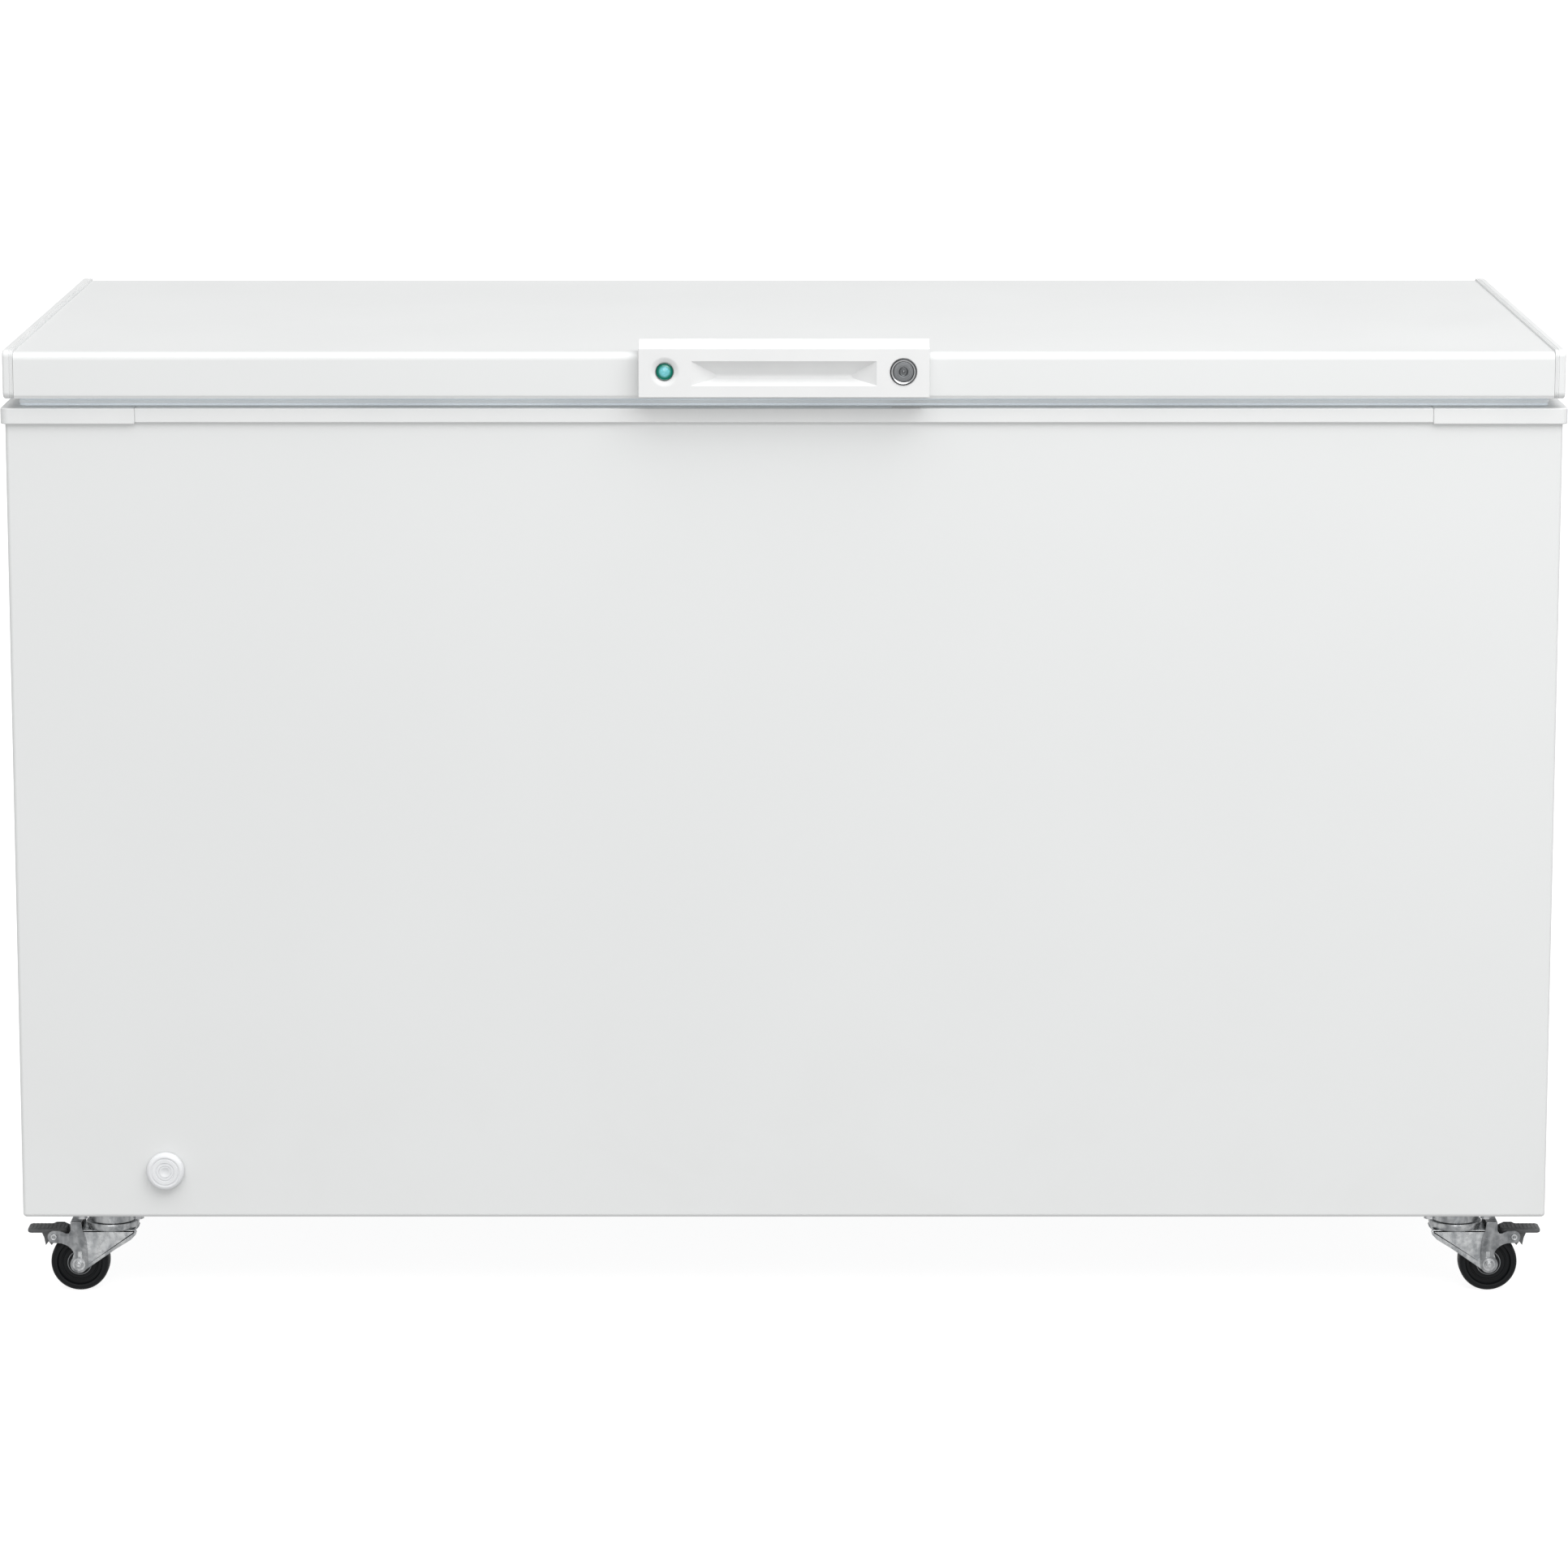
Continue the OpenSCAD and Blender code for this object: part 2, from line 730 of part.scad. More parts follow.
module drain_tube() {
    color("white") difference() {
        union() {
            bar_z(-drain_x, drain_y, drain_z, in_z0 - liner_t, drain_out_r);
            translate([-drain_x, drain_y, drain_z]) sphere(r = drain_out_r);
            bar_y(-drain_x, cab_y0 - drain_flange_t, drain_y, drain_z, drain_out_r);
            bar_y(-drain_x, cab_y0 - drain_flange_t, cab_y0, drain_z, drain_flange_r);
        }
        drain_passage(drain_r);
    }
}

module drain_plug() {
    face_y = cab_y0 - drain_flange_t - slide_fit;
    front_y = face_y - plug_cap_t;
    color("white") difference() {
        union() {
            bar_y(-drain_x, front_y, face_y, drain_z, plug_cap_r);
            bar_y(-drain_x, face_y - eps, face_y + plug_stem, drain_z, drain_r - run_fit);
        }
        for (r = [14, 9, 6])
            difference() {
                bar_y(-drain_x, front_y - eps, front_y + 0.8, drain_z, r);
                bar_y(-drain_x, front_y - 2 * eps, front_y + 2, drain_z, r - 1.2);
            }
    }
}

module drain_stopper() {
    z = in_z0 + slide_fit;
    color("dimgray") union() {
        bar_z(-drain_x, drain_y, z, z + stopper_t, stopper_r);
        bar_z(-drain_x, drain_y, z - stopper_stem, z + eps, drain_r - run_fit);
        block(-drain_x - 10, -drain_x + 10, drain_y - 2, drain_y + 2, z + stopper_t - eps,
            z + stopper_t + 10);
    }
}

// ---------- baskets ----------

module basket(x0) {
    x1 = x0 + basket_w;
    hook_pitch = basket_w / hook_count;
    color("lightgray") {
        difference() {
            block(x0, x1, basket_y0, basket_y1, basket_z0, basket_z1);
            block(x0 + basket_t, x1 - basket_t, basket_y0 + basket_t, basket_y1 - basket_t,
                basket_z0 + basket_t, basket_z1 + eps);
        }
        for (i = [0 : hook_count - 1]) {
            hx = x0 + (i + 0.5) * hook_pitch - hook_w / 2;
            block(hx, hx + hook_w, basket_y0, basket_y0 + basket_t, basket_z1 - eps,
                hook_z0 + hook_t);
            block(hx, hx + hook_w, basket_y0 - hook_lap, basket_y0 + basket_t, hook_z0,
                hook_z0 + hook_t);
            block(hx, hx + hook_w, basket_y1 - basket_t, basket_y1, basket_z1 - eps,
                hook_z0 + hook_t);
            block(hx, hx + hook_w, basket_y1 - basket_t, basket_y1 + hook_lap, hook_z0,
                hook_z0 + hook_t);
        }
    }
}

module basket_left() {
    basket(-plug_x);
}

module basket_right() {
    basket(plug_x - basket_w);
}

// ---------- hinges ----------

module at_hinges() {
    for (side = [-1, 1])
        translate([side * hinge_x, 0, 0]) children();
}

module hinge_brackets() {
    plate_z0 = bracket_z1 - bracket_h;
    back = cab_y1 + hinge_t;
    color("silver") at_hinges() difference() {
        union() {
            block(-hinge_w / 2, hinge_w / 2, cab_y1, back, plate_z0, bracket_z1);
            for (x = [-hinge_w / 2, hinge_w / 2 - hinge_t])
                along_x(x, x + hinge_t) {
                    polygon([[cab_y1, plate_z0], [cab_y1, bracket_z1],
                        [cab_y1 + trim_out + 1, bracket_z1], [pin_y - knuckle_r + 1, pin_z - 4],
                        [pin_y + knuckle_r - 1, pin_z - 4], [pin_y + 4, pin_z - 30],
                        [back + 6, plate_z0]]);
                    translate([pin_y, pin_z]) circle(r = knuckle_r);
                }
        }
        bar_x(-hinge_w, hinge_w, pin_y, pin_z, pin_r);
    }
}

module hinge_pins() {
    color("gray") at_hinges() {
        bar_x(-hinge_w / 2 - 1.5, hinge_w / 2 + 1.5, pin_y, pin_z, pin_r);
        for (x = [-hinge_w / 2 - 2, hinge_w / 2])
            bar_x(x, x + 2, pin_y, pin_z, pin_r + 2);
    }
}

module hinge_springs() {
    inner = arm_w / 2 + arm_gap;
    outer = hinge_w / 2 - hinge_t - arm_gap;
    color("darkgray") at_hinges() for (side = [-1, 1]) difference() {
        union() {
            bar_x(side > 0 ? inner : -outer, side > 0 ? outer : -inner, pin_y, pin_z, spring_r);
            translate([side > 0 ? outer - 2.5 : -outer, cab_y1 + hinge_t, pin_z - 40])
                cube([2.5, 2.5, 14]);
            translate([side > 0 ? outer - 2.5 : -outer, 0, 0]) along_x(0, 2.5)
                polygon([[cab_y1 + hinge_t, pin_z - 29], [cab_y1 + hinge_t, pin_z - 26],
                    [pin_y - spring_r + 1, pin_z], [pin_y - spring_r + 4, pin_z - 3]]);
        }
        bar_x(-hinge_w, hinge_w, pin_y, pin_z, pin_r + run_fit);
    }
}

module hinge_leaves() {
    face_z0 = lid_z0 + 4;
    face_z1 = lid_z1 - lid_r - 3;
    color("silver") at_hinges() difference() {
        union() {
            block(-leaf_w / 2, leaf_w / 2, lid_y1, lid_y1 + hinge_t, face_z0, face_z1);
            along_x(-arm_w / 2, arm_w / 2) {
                polygon([[lid_y1, face_z0], [lid_y1, face_z1 - 4],
                    [lid_y1 + hinge_t, face_z1 - 4], [pin_y + knuckle_r - 1.5, pin_z + 2],
                    [pin_y - 3, pin_z - knuckle_r + 2], [lid_y1 + hinge_t + 6, face_z0]]);
                translate([pin_y, pin_z]) circle(r = knuckle_r - 0.5);
            }
        }
        bar_x(-hinge_w, hinge_w, pin_y, pin_z, pin_r + run_fit);
    }
}

// ---------- lid ----------

module lid_outline(inset, z0, z1) {
    r = lid_r - inset;
    y0 = lid_y0 + inset;
    y1 = lid_y1 - inset;
    translate([y0, z0]) square([y1 - y0, z1 - r - z0]);
    translate([y0 + r, z0]) square([y1 - y0 - 2 * r, z1 - z0]);
    for (y = [y0 + r, y1 - r])
        translate([y, z1 - r]) circle(r = r);
}

module lock_bore(r, y0, y1) {
    bar_y(control_x, y0, y1, control_z, r);
}

module lid_panel() {
    color("white") difference() {
        union() {
            difference() {
                along_x(-panel_x, panel_x) lid_outline(0, lid_z0, lid_z1);
                along_x(-panel_x - eps, panel_x + eps)
                    lid_outline(sheet_t, lid_z0 - eps, lid_z1 - sheet_t);
            }
            block(-panel_x, panel_x, lid_y0, lid_y0 + hem_d, lid_z0, lid_sheet_z);
            block(-panel_x, panel_x, max(lid_y1 - hem_d, gasket_y1 + slide_fit), lid_y1, lid_z0,
                lid_sheet_z);
        }
        lock_bore(lock_r, lid_y0 - eps, lid_y0 + sheet_t + eps);
    }
}

module lid_cap(x0, x1, open_x0, open_x1) {
    color("white") difference() {
        along_x(x0, x1) lid_outline(0, lid_z0, lid_z1 + cap_rise);
        along_x(open_x0, open_x1)
            lid_outline(cap_wall, lid_z0 + cap_wall, lid_z1 + cap_rise - cap_wall);
    }
}

module lid_cap_left() {
    lid_cap(-cab_x, -panel_x, -cab_x + cap_wall, -panel_x + eps);
}

module lid_cap_right() {
    lid_cap(panel_x, cab_x, panel_x - eps, cab_x - cap_wall);
}

module cam_pocket(y0, y1, z0, z1) {
    tail = max(core_r, norm([cam_w / 2, cam_w / 2]));
    block(control_x - tail - cam_room, control_x + cam_tip + cam_room, y0, y1, z0, z1);
}

module lid_foam() {
    color("khaki") difference() {
        union() {
            along_x(-panel_x, panel_x) lid_outline(sheet_t, lid_foam_z0, lid_z1 - sheet_t);
            rounded_block(-plug_x + lid_liner_t, plug_x - lid_liner_t, plug_y0 + lid_liner_t,
                plug_y1 - lid_liner_t, plug_z + lid_liner_t, lid_foam_z0 + eps,
                liner_r - lid_liner_t);
        }
        lock_bore(lock_r, lid_y0, housing_y1 + slide_fit);
        cam_pocket(cam_y0 - cam_room, core_y1 + cam_room, lid_foam_z0 - eps,
            control_z + cam_w / 2 + 2 * cam_room);
    }
}

module lid_liner() {
    color("whitesmoke") difference() {
        union() {
            block(-panel_x, panel_x, lid_y0 + sheet_t, lid_y1 - sheet_t, lid_sheet_z,
                lid_foam_z0);
            rounded_block(-plug_x, plug_x, plug_y0, plug_y1, plug_z, lid_foam_z0, liner_r);
        }
        rounded_block(-plug_x + lid_liner_t, plug_x - lid_liner_t, plug_y0 + lid_liner_t,
            plug_y1 - lid_liner_t, plug_z + lid_liner_t, lid_foam_z0 + eps,
            liner_r - lid_liner_t);
        cam_pocket(cam_y0 - cam_room, core_y1 + cam_room, lid_sheet_z - eps, lid_foam_z0 + eps);
    }
}

module lid_gasket() {
    z0 = rim_z + gasket_room;
    color("lightsteelblue") difference() {
        rounded_block(-gasket_x, gasket_x, gasket_y0, gasket_y1, z0, lid_sheet_z, gasket_r);
        rounded_block(-gasket_x + gasket_w, gasket_x - gasket_w, gasket_y0 + gasket_w,
            gasket_y1 - gasket_w, z0 - eps, lid_sheet_z + eps, gasket_r / 2);
    }
}

module handle_body() {
    color("white") difference() {
        along_x(-handle_w / 2, handle_w / 2)
            polygon([[handle_y0, handle_z0], [lid_y0, handle_z0], [lid_y0, lid_z1],
                [lid_y0 + handle_lap, lid_z1], [lid_y0 + handle_lap, handle_z1 + handle_rise - 1],
                [lid_y0, handle_z1 + handle_rise], [handle_y0 + 2, handle_z1],
                [handle_y0, handle_z1 - 2]]);
        intersection() {
            along_x(-recess_w / 2, recess_w / 2)
                polygon([[handle_y0 - 0.01, recess_z1], [handle_y0 - 0.01, recess_z1 - recess_h],
                    [handle_y0 + recess_d, recess_deep_z]]);
            translate([0, 0, handle_z0]) linear_extrude(handle_z1 - handle_z0)
                polygon([[-recess_w / 2, handle_y0 - 0.01], [recess_w / 2, handle_y0 - 0.01],
                    [recess_w / 2 - recess_slant, handle_y0 + recess_d],
                    [-recess_w / 2 + recess_slant, handle_y0 + recess_d]]);
        }
        translate([-control_x, handle_y0 - 0.01, control_z]) rotate([-90, 0, 0])
            cylinder(h = dish_depth, r1 = dish_r, r2 = lens_r);
        bar_y(-control_x, handle_y0 - eps, handle_y0 + lens_depth, control_z, lens_r);
        lock_bore(lock_r, handle_y0 - eps, lid_y0 + eps);
    }
}

module power_light() {
    color("mediumseagreen") bar_y(-control_x, handle_y0 + 1, handle_y0 + lens_depth,
        control_z, lens_r);
}

module lock_housing() {
    color("silver") difference() {
        lock_bore(lock_r, handle_y0 - bezel_out, housing_y1);
        lock_bore(core_r + run_fit, handle_y0 - bezel_out - eps, housing_y1 + eps);
    }
}

module lock_cylinder() {
    color("gray") difference() {
        union() {
            lock_bore(core_r, handle_y0 - bezel_out / 2, cam_y0 + eps);
            block(control_x - cam_w / 2, control_x + cam_len, cam_y0, core_y1,
                control_z - cam_w / 2, control_z + cam_w / 2);
        }
        lock_bore(2.5, handle_y0 - bezel_out - eps, handle_y0 + 10);
    }
}

// ---------- casters ----------

// Places a caster with its wheel trailing outwards: side is -1 left or 1 right
module at_caster(side, y) {
    if (side > 0) {
        translate([axis_x, y, 0]) mirror([1, 0, 0]) children();
    } else {
        translate([-axis_x, y, 0]) children();
    }
}

module at_casters() {
    for (side = [-1, 1], y = [axis_y0, axis_y1])
        at_caster(side, y) children();
}

module caster_plates() {
    plate_z = ground_h - plate_t;
    color("silver") at_casters() difference() {
        union() {
            rounded_block(-plate_w / 2, plate_w / 2, -plate_d / 2, plate_d / 2, plate_z,
                ground_h, 6);
            bar_z(0, 0, race_z0, plate_z + eps, race_r);
            bar_z(0, 0, crown_z0 - 0.5 - king_head_t, race_z0 + eps, king_r);
            bar_z(0, 0, crown_z0 - 0.5 - king_head_t, crown_z0 - 0.5, king_head_r);
        }
        for (bx = [-1, 1], by = [-1, 1])
            bar_z(bx * bolt_dx, by * bolt_dy, plate_z - eps, ground_h + eps, bolt_r);
    }
}

module caster_bolts() {
    head_z = ground_h - plate_t;
    color("gray") bolt_places() {
        translate([0, 0, head_z - bolt_head_t])
            cylinder(h = bolt_head_t, r = bolt_head_r, $fn = 6);
        bar_z(0, 0, head_z - eps, foam_z0, bolt_r);
    }
}

module fork_leg() {
    polygon([[-trail + 3, crown_z1], [cup_r - 1, crown_z1], [19.6, crown_z1 - 10.5],
        [4, crown_z1 - 20.3],
        [-trail + boss_r * cos(-48), axle_z + boss_r * sin(-48)],
        [-trail - boss_r, axle_z]]);
    translate([-trail, axle_z]) circle(r = boss_r);
}

module fork(side, y) {
    color("silver") at_caster(side, y) difference() {
        union() {
            for (s = [-1, 1])
                along_y(s > 0 ? leg_y : -leg_out, s > 0 ? leg_out : -leg_y) fork_leg();
            block(-trail + 3, cup_r - 1, -leg_out, leg_out, crown_z0, crown_z1);
            bar_z(0, 0, crown_z0, crown_z1 + cup_h, cup_r);
        }
        bar_z(0, 0, crown_z0 - eps, crown_z1 + cup_h + eps, king_r + run_fit);
        bar_y(-trail, -leg_out - eps, leg_out + eps, axle_z, axle_r);
    }
}

module fork_front_left() {
    fork(-1, axis_y0);
}

module fork_front_right() {
    fork(1, axis_y0);
}

module fork_back_left() {
    fork(-1, axis_y1);
}

module fork_back_right() {
    fork(1, axis_y1);
}

// An axle bolt with its nut in front: packing is the thickness of what it also clamps
module axle(side, y, packing) {
    clamp = leg_out + packing;
    color("gray") at_caster(side, y) union() {
        bar_y(-trail, -clamp - nut_t - tip_out, clamp + eps, axle_z, axle_r);
        translate([-trail, -clamp, axle_z]) rotate([90, 0, 0])
            cylinder(h = nut_t, r = nut_r, $fn = 6);
        translate([-trail, clamp + nut_t - 1, axle_z]) rotate([90, 0, 0])
            cylinder(h = nut_t - 1, r = nut_r, $fn = 6);
    }
}

module axle_front_left() {
    axle(-1, axis_y0, bracket_t);
}

module axle_front_right() {
    axle(1, axis_y0, bracket_t);
}

module axle_back_left() {
    axle(-1, axis_y1, 0);
}

module axle_back_right() {
    axle(1, axis_y1, 0);
}

module wheel(side, y) {
    half = wheel_w / 2;
    hub = 12.6;
    ring = 18;
    rim = wheel_r - 6.5;
    color("black") at_caster(side, y) translate([-trail, 0, axle_z]) rotate([90, 0, 0])
        rotate_extrude() {
            polygon([[axle_r + run_fit, -half - 0.5], [hub, -half - 0.5], [hub, -half + 3.5],
                [ring, -half + 3], [ring + 1.5, -half + 4], [rim, -half + 4], [rim, -half],
                [wheel_r - 3, -half], [wheel_r, -half + 3], [wheel_r, half - 3],
                [wheel_r - 3, half], [rim, half], [rim, half - 4], [ring + 1.5, half - 4],
                [ring, half - 3], [hub, half - 3.5], [hub, half + 0.5],
                [axle_r + run_fit, half + 0.5]]);
        }
}

module wheel_front_left() {
    wheel(-1, axis_y0);
}

module wheel_front_right() {
    wheel(1, axis_y0);
}

module wheel_back_left() {
    wheel(-1, axis_y1);
}

module wheel_back_right() {
    wheel(1, axis_y1);
}

module bracket_side() {
    tab_x0 = -trail - 8;
    tab_x1 = -trail + 3;
    difference() {
        union() {
            polygon([[brake_x, brake_z + ear_r], [tab_x0, brake_z + 7], [tab_x0, brake_z + 16],
                [tab_x1, brake_z + 16], [tab_x1 + 2, brake_z + 5], [tab_x1 + 5.4, brake_z - 6],
                [-trail + boss_r, axle_z], [-trail - 4.6, axle_z], [-trail - 4.6, axle_z + 10],
                [-trail - 10.4, brake_z - 10], [brake_x + 4.4, brake_z - 5.7],
                [brake_x, brake_z - ear_r]]);
            translate([brake_x, brake_z]) circle(r = ear_r);
            translate([-trail, axle_z]) circle(r = boss_r);
        }
        translate([-trail, axle_z]) circle(r = axle_r);
    }
}

module brake_bracket(side) {
    outer = leg_out + bracket_t;
    color("lightgray") at_caster(side, axis_y0) union() {
        for (s = [-1, 1])
            along_y(s > 0 ? leg_out : -outer, s > 0 ? outer : -leg_out) bracket_side();
        block(-trail - 8, -trail + 3, -outer, outer, brake_z + 13.5, brake_z + 16);
        bar_y(brake_x, -outer - 1.5, outer + 1.5, brake_z, brake_pin_r);
    }
}

module brake_bracket_left() {
    brake_bracket(-1);
}

module brake_bracket_right() {
    brake_bracket(1);
}

module brake_pedal(side) {
    bar_x0 = brake_x - 28;
    bar_z0 = brake_z + 3.5;
    color("dimgray") at_caster(side, axis_y0) difference() {
        union() {
            block(bar_x0, bar_x0 + pedal_len, -pedal_d / 2, pedal_d / 2, bar_z0,
                bar_z0 + pedal_t);
            bar_y(brake_x, -leg_out + slide_fit, leg_out - slide_fit, brake_z, sleeve_r);
            along_y(-8, 8) polygon([[brake_x - 14, bar_z0 + 1],
                [brake_x - 9.6, brake_z - tooth_reach], [brake_x - 6.6, brake_z - tooth_reach + 4],
                [brake_x - 3.6, brake_z - tooth_reach], [brake_x + 3, brake_z - 1],
                [brake_x + 4, bar_z0 + 1]]);
        }
        bar_y(brake_x, -leg_out - eps, leg_out + eps, brake_z, brake_pin_r + run_fit);
    }
}

module brake_pedal_left() {
    brake_pedal(-1);
}

module brake_pedal_right() {
    brake_pedal(1);
}

cabinet_wrapper();
back_panel();
cabinet_base();
cabinet_foam();
inner_liner();
trim_front();
trim_back();
trim_left();
trim_right();
trim_corner_front_left();
trim_corner_front_right();
trim_corner_back_left();
trim_corner_back_right();
evaporator_coil();
condenser_coil();
compressor();
compressor_grommets();
start_relay();
refrigerant_pipes();
vent_grille();
cord_gland();
thermostat_housing();
drain_tube();
hinge_brackets();
hinge_pins();
hinge_springs();
caster_plates();
caster_bolts();
lid_panel();
lid_cap_left();
lid_cap_right();
lid_foam();
lid_liner();
lid_gasket();
hinge_leaves();
handle_body();
power_light();
lock_housing();
lock_cylinder();
thermostat_knob();
drain_plug();
drain_stopper();
basket_left();
basket_right();
fork_front_left();
fork_front_right();
fork_back_left();
fork_back_right();
axle_front_left();
axle_front_right();
axle_back_left();
axle_back_right();
wheel_front_left();
wheel_front_right();
wheel_back_left();
wheel_back_right();
brake_bracket_left();
brake_bracket_right();
brake_pedal_left();
brake_pedal_right();
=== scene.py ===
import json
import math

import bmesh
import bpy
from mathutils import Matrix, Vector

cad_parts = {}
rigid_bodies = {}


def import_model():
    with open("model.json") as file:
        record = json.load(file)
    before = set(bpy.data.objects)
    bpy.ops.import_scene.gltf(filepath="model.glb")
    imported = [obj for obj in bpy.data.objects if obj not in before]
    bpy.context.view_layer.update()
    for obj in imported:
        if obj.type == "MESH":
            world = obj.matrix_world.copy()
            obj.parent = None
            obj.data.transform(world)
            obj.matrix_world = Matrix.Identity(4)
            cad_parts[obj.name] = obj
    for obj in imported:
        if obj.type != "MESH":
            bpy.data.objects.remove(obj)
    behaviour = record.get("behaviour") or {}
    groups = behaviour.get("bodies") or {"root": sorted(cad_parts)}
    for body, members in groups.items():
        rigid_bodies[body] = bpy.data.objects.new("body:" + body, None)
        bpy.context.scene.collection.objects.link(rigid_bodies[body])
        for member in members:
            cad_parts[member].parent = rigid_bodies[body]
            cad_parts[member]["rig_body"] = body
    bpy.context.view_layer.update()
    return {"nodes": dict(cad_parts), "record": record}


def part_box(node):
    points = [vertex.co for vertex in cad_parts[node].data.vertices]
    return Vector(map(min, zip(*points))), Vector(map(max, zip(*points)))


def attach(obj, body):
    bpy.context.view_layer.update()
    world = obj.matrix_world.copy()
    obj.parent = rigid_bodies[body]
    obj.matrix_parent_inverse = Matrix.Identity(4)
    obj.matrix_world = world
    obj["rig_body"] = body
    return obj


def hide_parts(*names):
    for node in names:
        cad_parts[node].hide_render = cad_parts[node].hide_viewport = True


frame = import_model()

# %% [markdown]
# # A chest freezer, finished piece by piece
# The frame above holds the freezer as it was engineered: every part is in its real place, but its
# edges are knife sharp and it has no finish. This lesson keeps each part's place and size and
# gives it what a maker would: folded and rounded sheet edges, welded wire, wound springs, and a
# material with the fine relief that light shows. Shapes are worked in millimetres, because that
# is how a sheet metal drawing is read, and are turned into metres when a piece is finished.

MM = 0.001


def span(node):
    """A part's lowest and highest corners, in millimetres."""
    low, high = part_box(node)
    return low / MM, high / MM


def mid_of(node):
    return sum(span(node), Vector()) / 2


def around(middle, half):
    return middle - half, middle + half


def within(low, high, inset):
    return low + inset, high - inset


# %% [markdown]
# ## The camera
# A buyer's view of an appliance is taken from a little above, with a long lens, so that its sides
# stay nearly parallel. The tilt is small, and a little shift of the lens does the rest: shift
# slides the picture without making upright edges lean. Depth of field stays off.

# %% Camera
eye = Vector((0.0, -6.211, 1.654))
tilt = 0.1747
lens_mm = 135.9
lens_shift = -0.05

camera_data = bpy.data.cameras.new("studio_camera")
camera_data.lens = lens_mm
camera_data.sensor_width = 36
camera_data.shift_y = lens_shift
camera_data.clip_end = 100
camera = bpy.data.objects.new("studio_camera", camera_data)
camera.location = eye
camera.rotation_euler = (math.pi / 2 - tilt, 0, 0)
bpy.context.scene.collection.objects.link(camera)
bpy.context.scene.camera = camera

# %% [markdown]
# ## Arithmetic for materials
# A material is a graph of nodes, and a graph is slow to read when it is only a list of links. The
# class below wraps one socket, so that sums and products in Python add the Math nodes. One method,
# `add`, makes every other kind of node: its settings are set first, because they decide which
# sockets it has.


# %% One socket that can be reckoned with
class Wire:
    def __init__(self, tree, socket=None):
        self.tree, self.socket = tree, socket

    def add(self, kind, settings=None, sockets=None, out=0):
        node = self.tree.nodes.new("ShaderNode" + kind)
        settings = dict(settings or {})
        stops = settings.pop("stops", ())
        for name, value in settings.items():
            setattr(node, name, value)
        for i, (place, colour) in enumerate(stops):
            ramp = node.color_ramp.elements
            stop = ramp[i] if i < 2 else ramp.new(place)
            stop.position, stop.color = place, colour
        for key, value in (sockets or {}).items():
            if isinstance(value, Wire):
                self.tree.links.new(value.socket, node.inputs[key])
            else:
                node.inputs[key].default_value = value
        return Wire(self.tree, node.outputs[out] if node.outputs else None)

    def math(self, operation, *values):
        return self.add("Math", {"operation": operation}, dict(enumerate(values)))

    def __add__(self, other):
        return self.math("ADD", self, other)

    def __sub__(self, other):
        return self.math("SUBTRACT", self, other)

    def __rsub__(self, other):
        return self.math("SUBTRACT", other, self)

    def __mul__(self, other):
        return self.math("MULTIPLY", self, other)

    def __pow__(self, other):
        return self.math("POWER", self, other)

    __radd__ = __add__
    __rmul__ = __mul__

    def between(self, low, high):
        """0 below low, 1 above high, smooth in between."""
        return self.add("MapRange", {"interpolation_type": "SMOOTHSTEP"},
                        {"Value": self, "From Min": low, "From Max": high})

    def tint(self, dark, light):
        """A colour between two others."""
        return self.add("Mix", {"data_type": "RGBA"}, {0: self, 6: dark, 7: light}, out=2)


def rgb(r, g, b):
    return (r, g, b, 1.0)


def off_axis(start, place, mid):
    """Distance in metres from a line along Y through mid, which is in millimetres."""
    x, z = (start.add("SeparateXYZ", sockets={"Vector": place}, out=i) for i in (0, 2))
    return ((x - mid.x * MM) ** 2.0 + (z - mid.z * MM) ** 2.0) ** 0.5


def glows(shader, look, strength):
    look["colour"].tree.links.new(look["colour"].socket, shader.inputs["Emission Color"])
    shader.inputs["Emission Strength"].default_value = strength


# %% [markdown]
# ## A finish has three scales
# Real paint, plastic and plated steel are never one flat value. At arm's length there is a slow
# drift in tone, closer there are smudges that change the gloss, and closest of all a fine relief
# bends each highlight. `finish` builds those three layers from noise in Object coordinates, which
# stay with the piece when it moves. `grain` and `blotch` are sizes in millimetres.

# %% The common finish
finishes = {}


def finish(slot, dark, light, rough, grain=1.0, relief=0.03, blotch=60.0, metallic=0.0,
           coat=0.0, extra=None):
    material = bpy.data.materials.new(slot + "_finish")
    material.use_nodes = True
    tree = material.node_tree
    shader = tree.nodes["Principled BSDF"]
    start = Wire(tree)
    place = start.add("TexCoord", out=3)
    slow = start.add("TexNoise", sockets={"Vector": place, "Scale": 1 / (blotch * MM),
                                          "Detail": 3.0, "Roughness": 0.55})
    fine = start.add("TexNoise", sockets={"Vector": place, "Scale": 1 / (grain * MM),
                                          "Detail": 2.0})
    smudge = start.add("TexNoise", sockets={"Vector": place, "Scale": 3.1 / (blotch * MM),
                                            "Detail": 5.0, "Distortion": 0.6})
    look = {
        "colour": slow.between(0.3, 0.7).tint(dark, light),
        "rough": smudge.between(0.25, 0.75) * (rough[1] - rough[0]) + rough[0],
        "height": fine * (relief * MM),
        "place": place, "slow": slow, "fine": fine, "smudge": smudge,
    }
    if extra:
        extra(start, shader, look)
    bump = start.add("Bump", sockets={"Height": look["height"], "Strength": 1.0,
                                      "Distance": 1.0})
    tree.links.new(look["colour"].socket, shader.inputs["Base Color"])
    tree.links.new(look["rough"].socket, shader.inputs["Roughness"])
    tree.links.new(bump.socket, shader.inputs["Normal"])
    shader.inputs["Metallic"].default_value = metallic
    shader.inputs["Coat Weight"].default_value = coat
    shader.inputs["Coat Roughness"].default_value = 0.12
    finishes[slot] = material


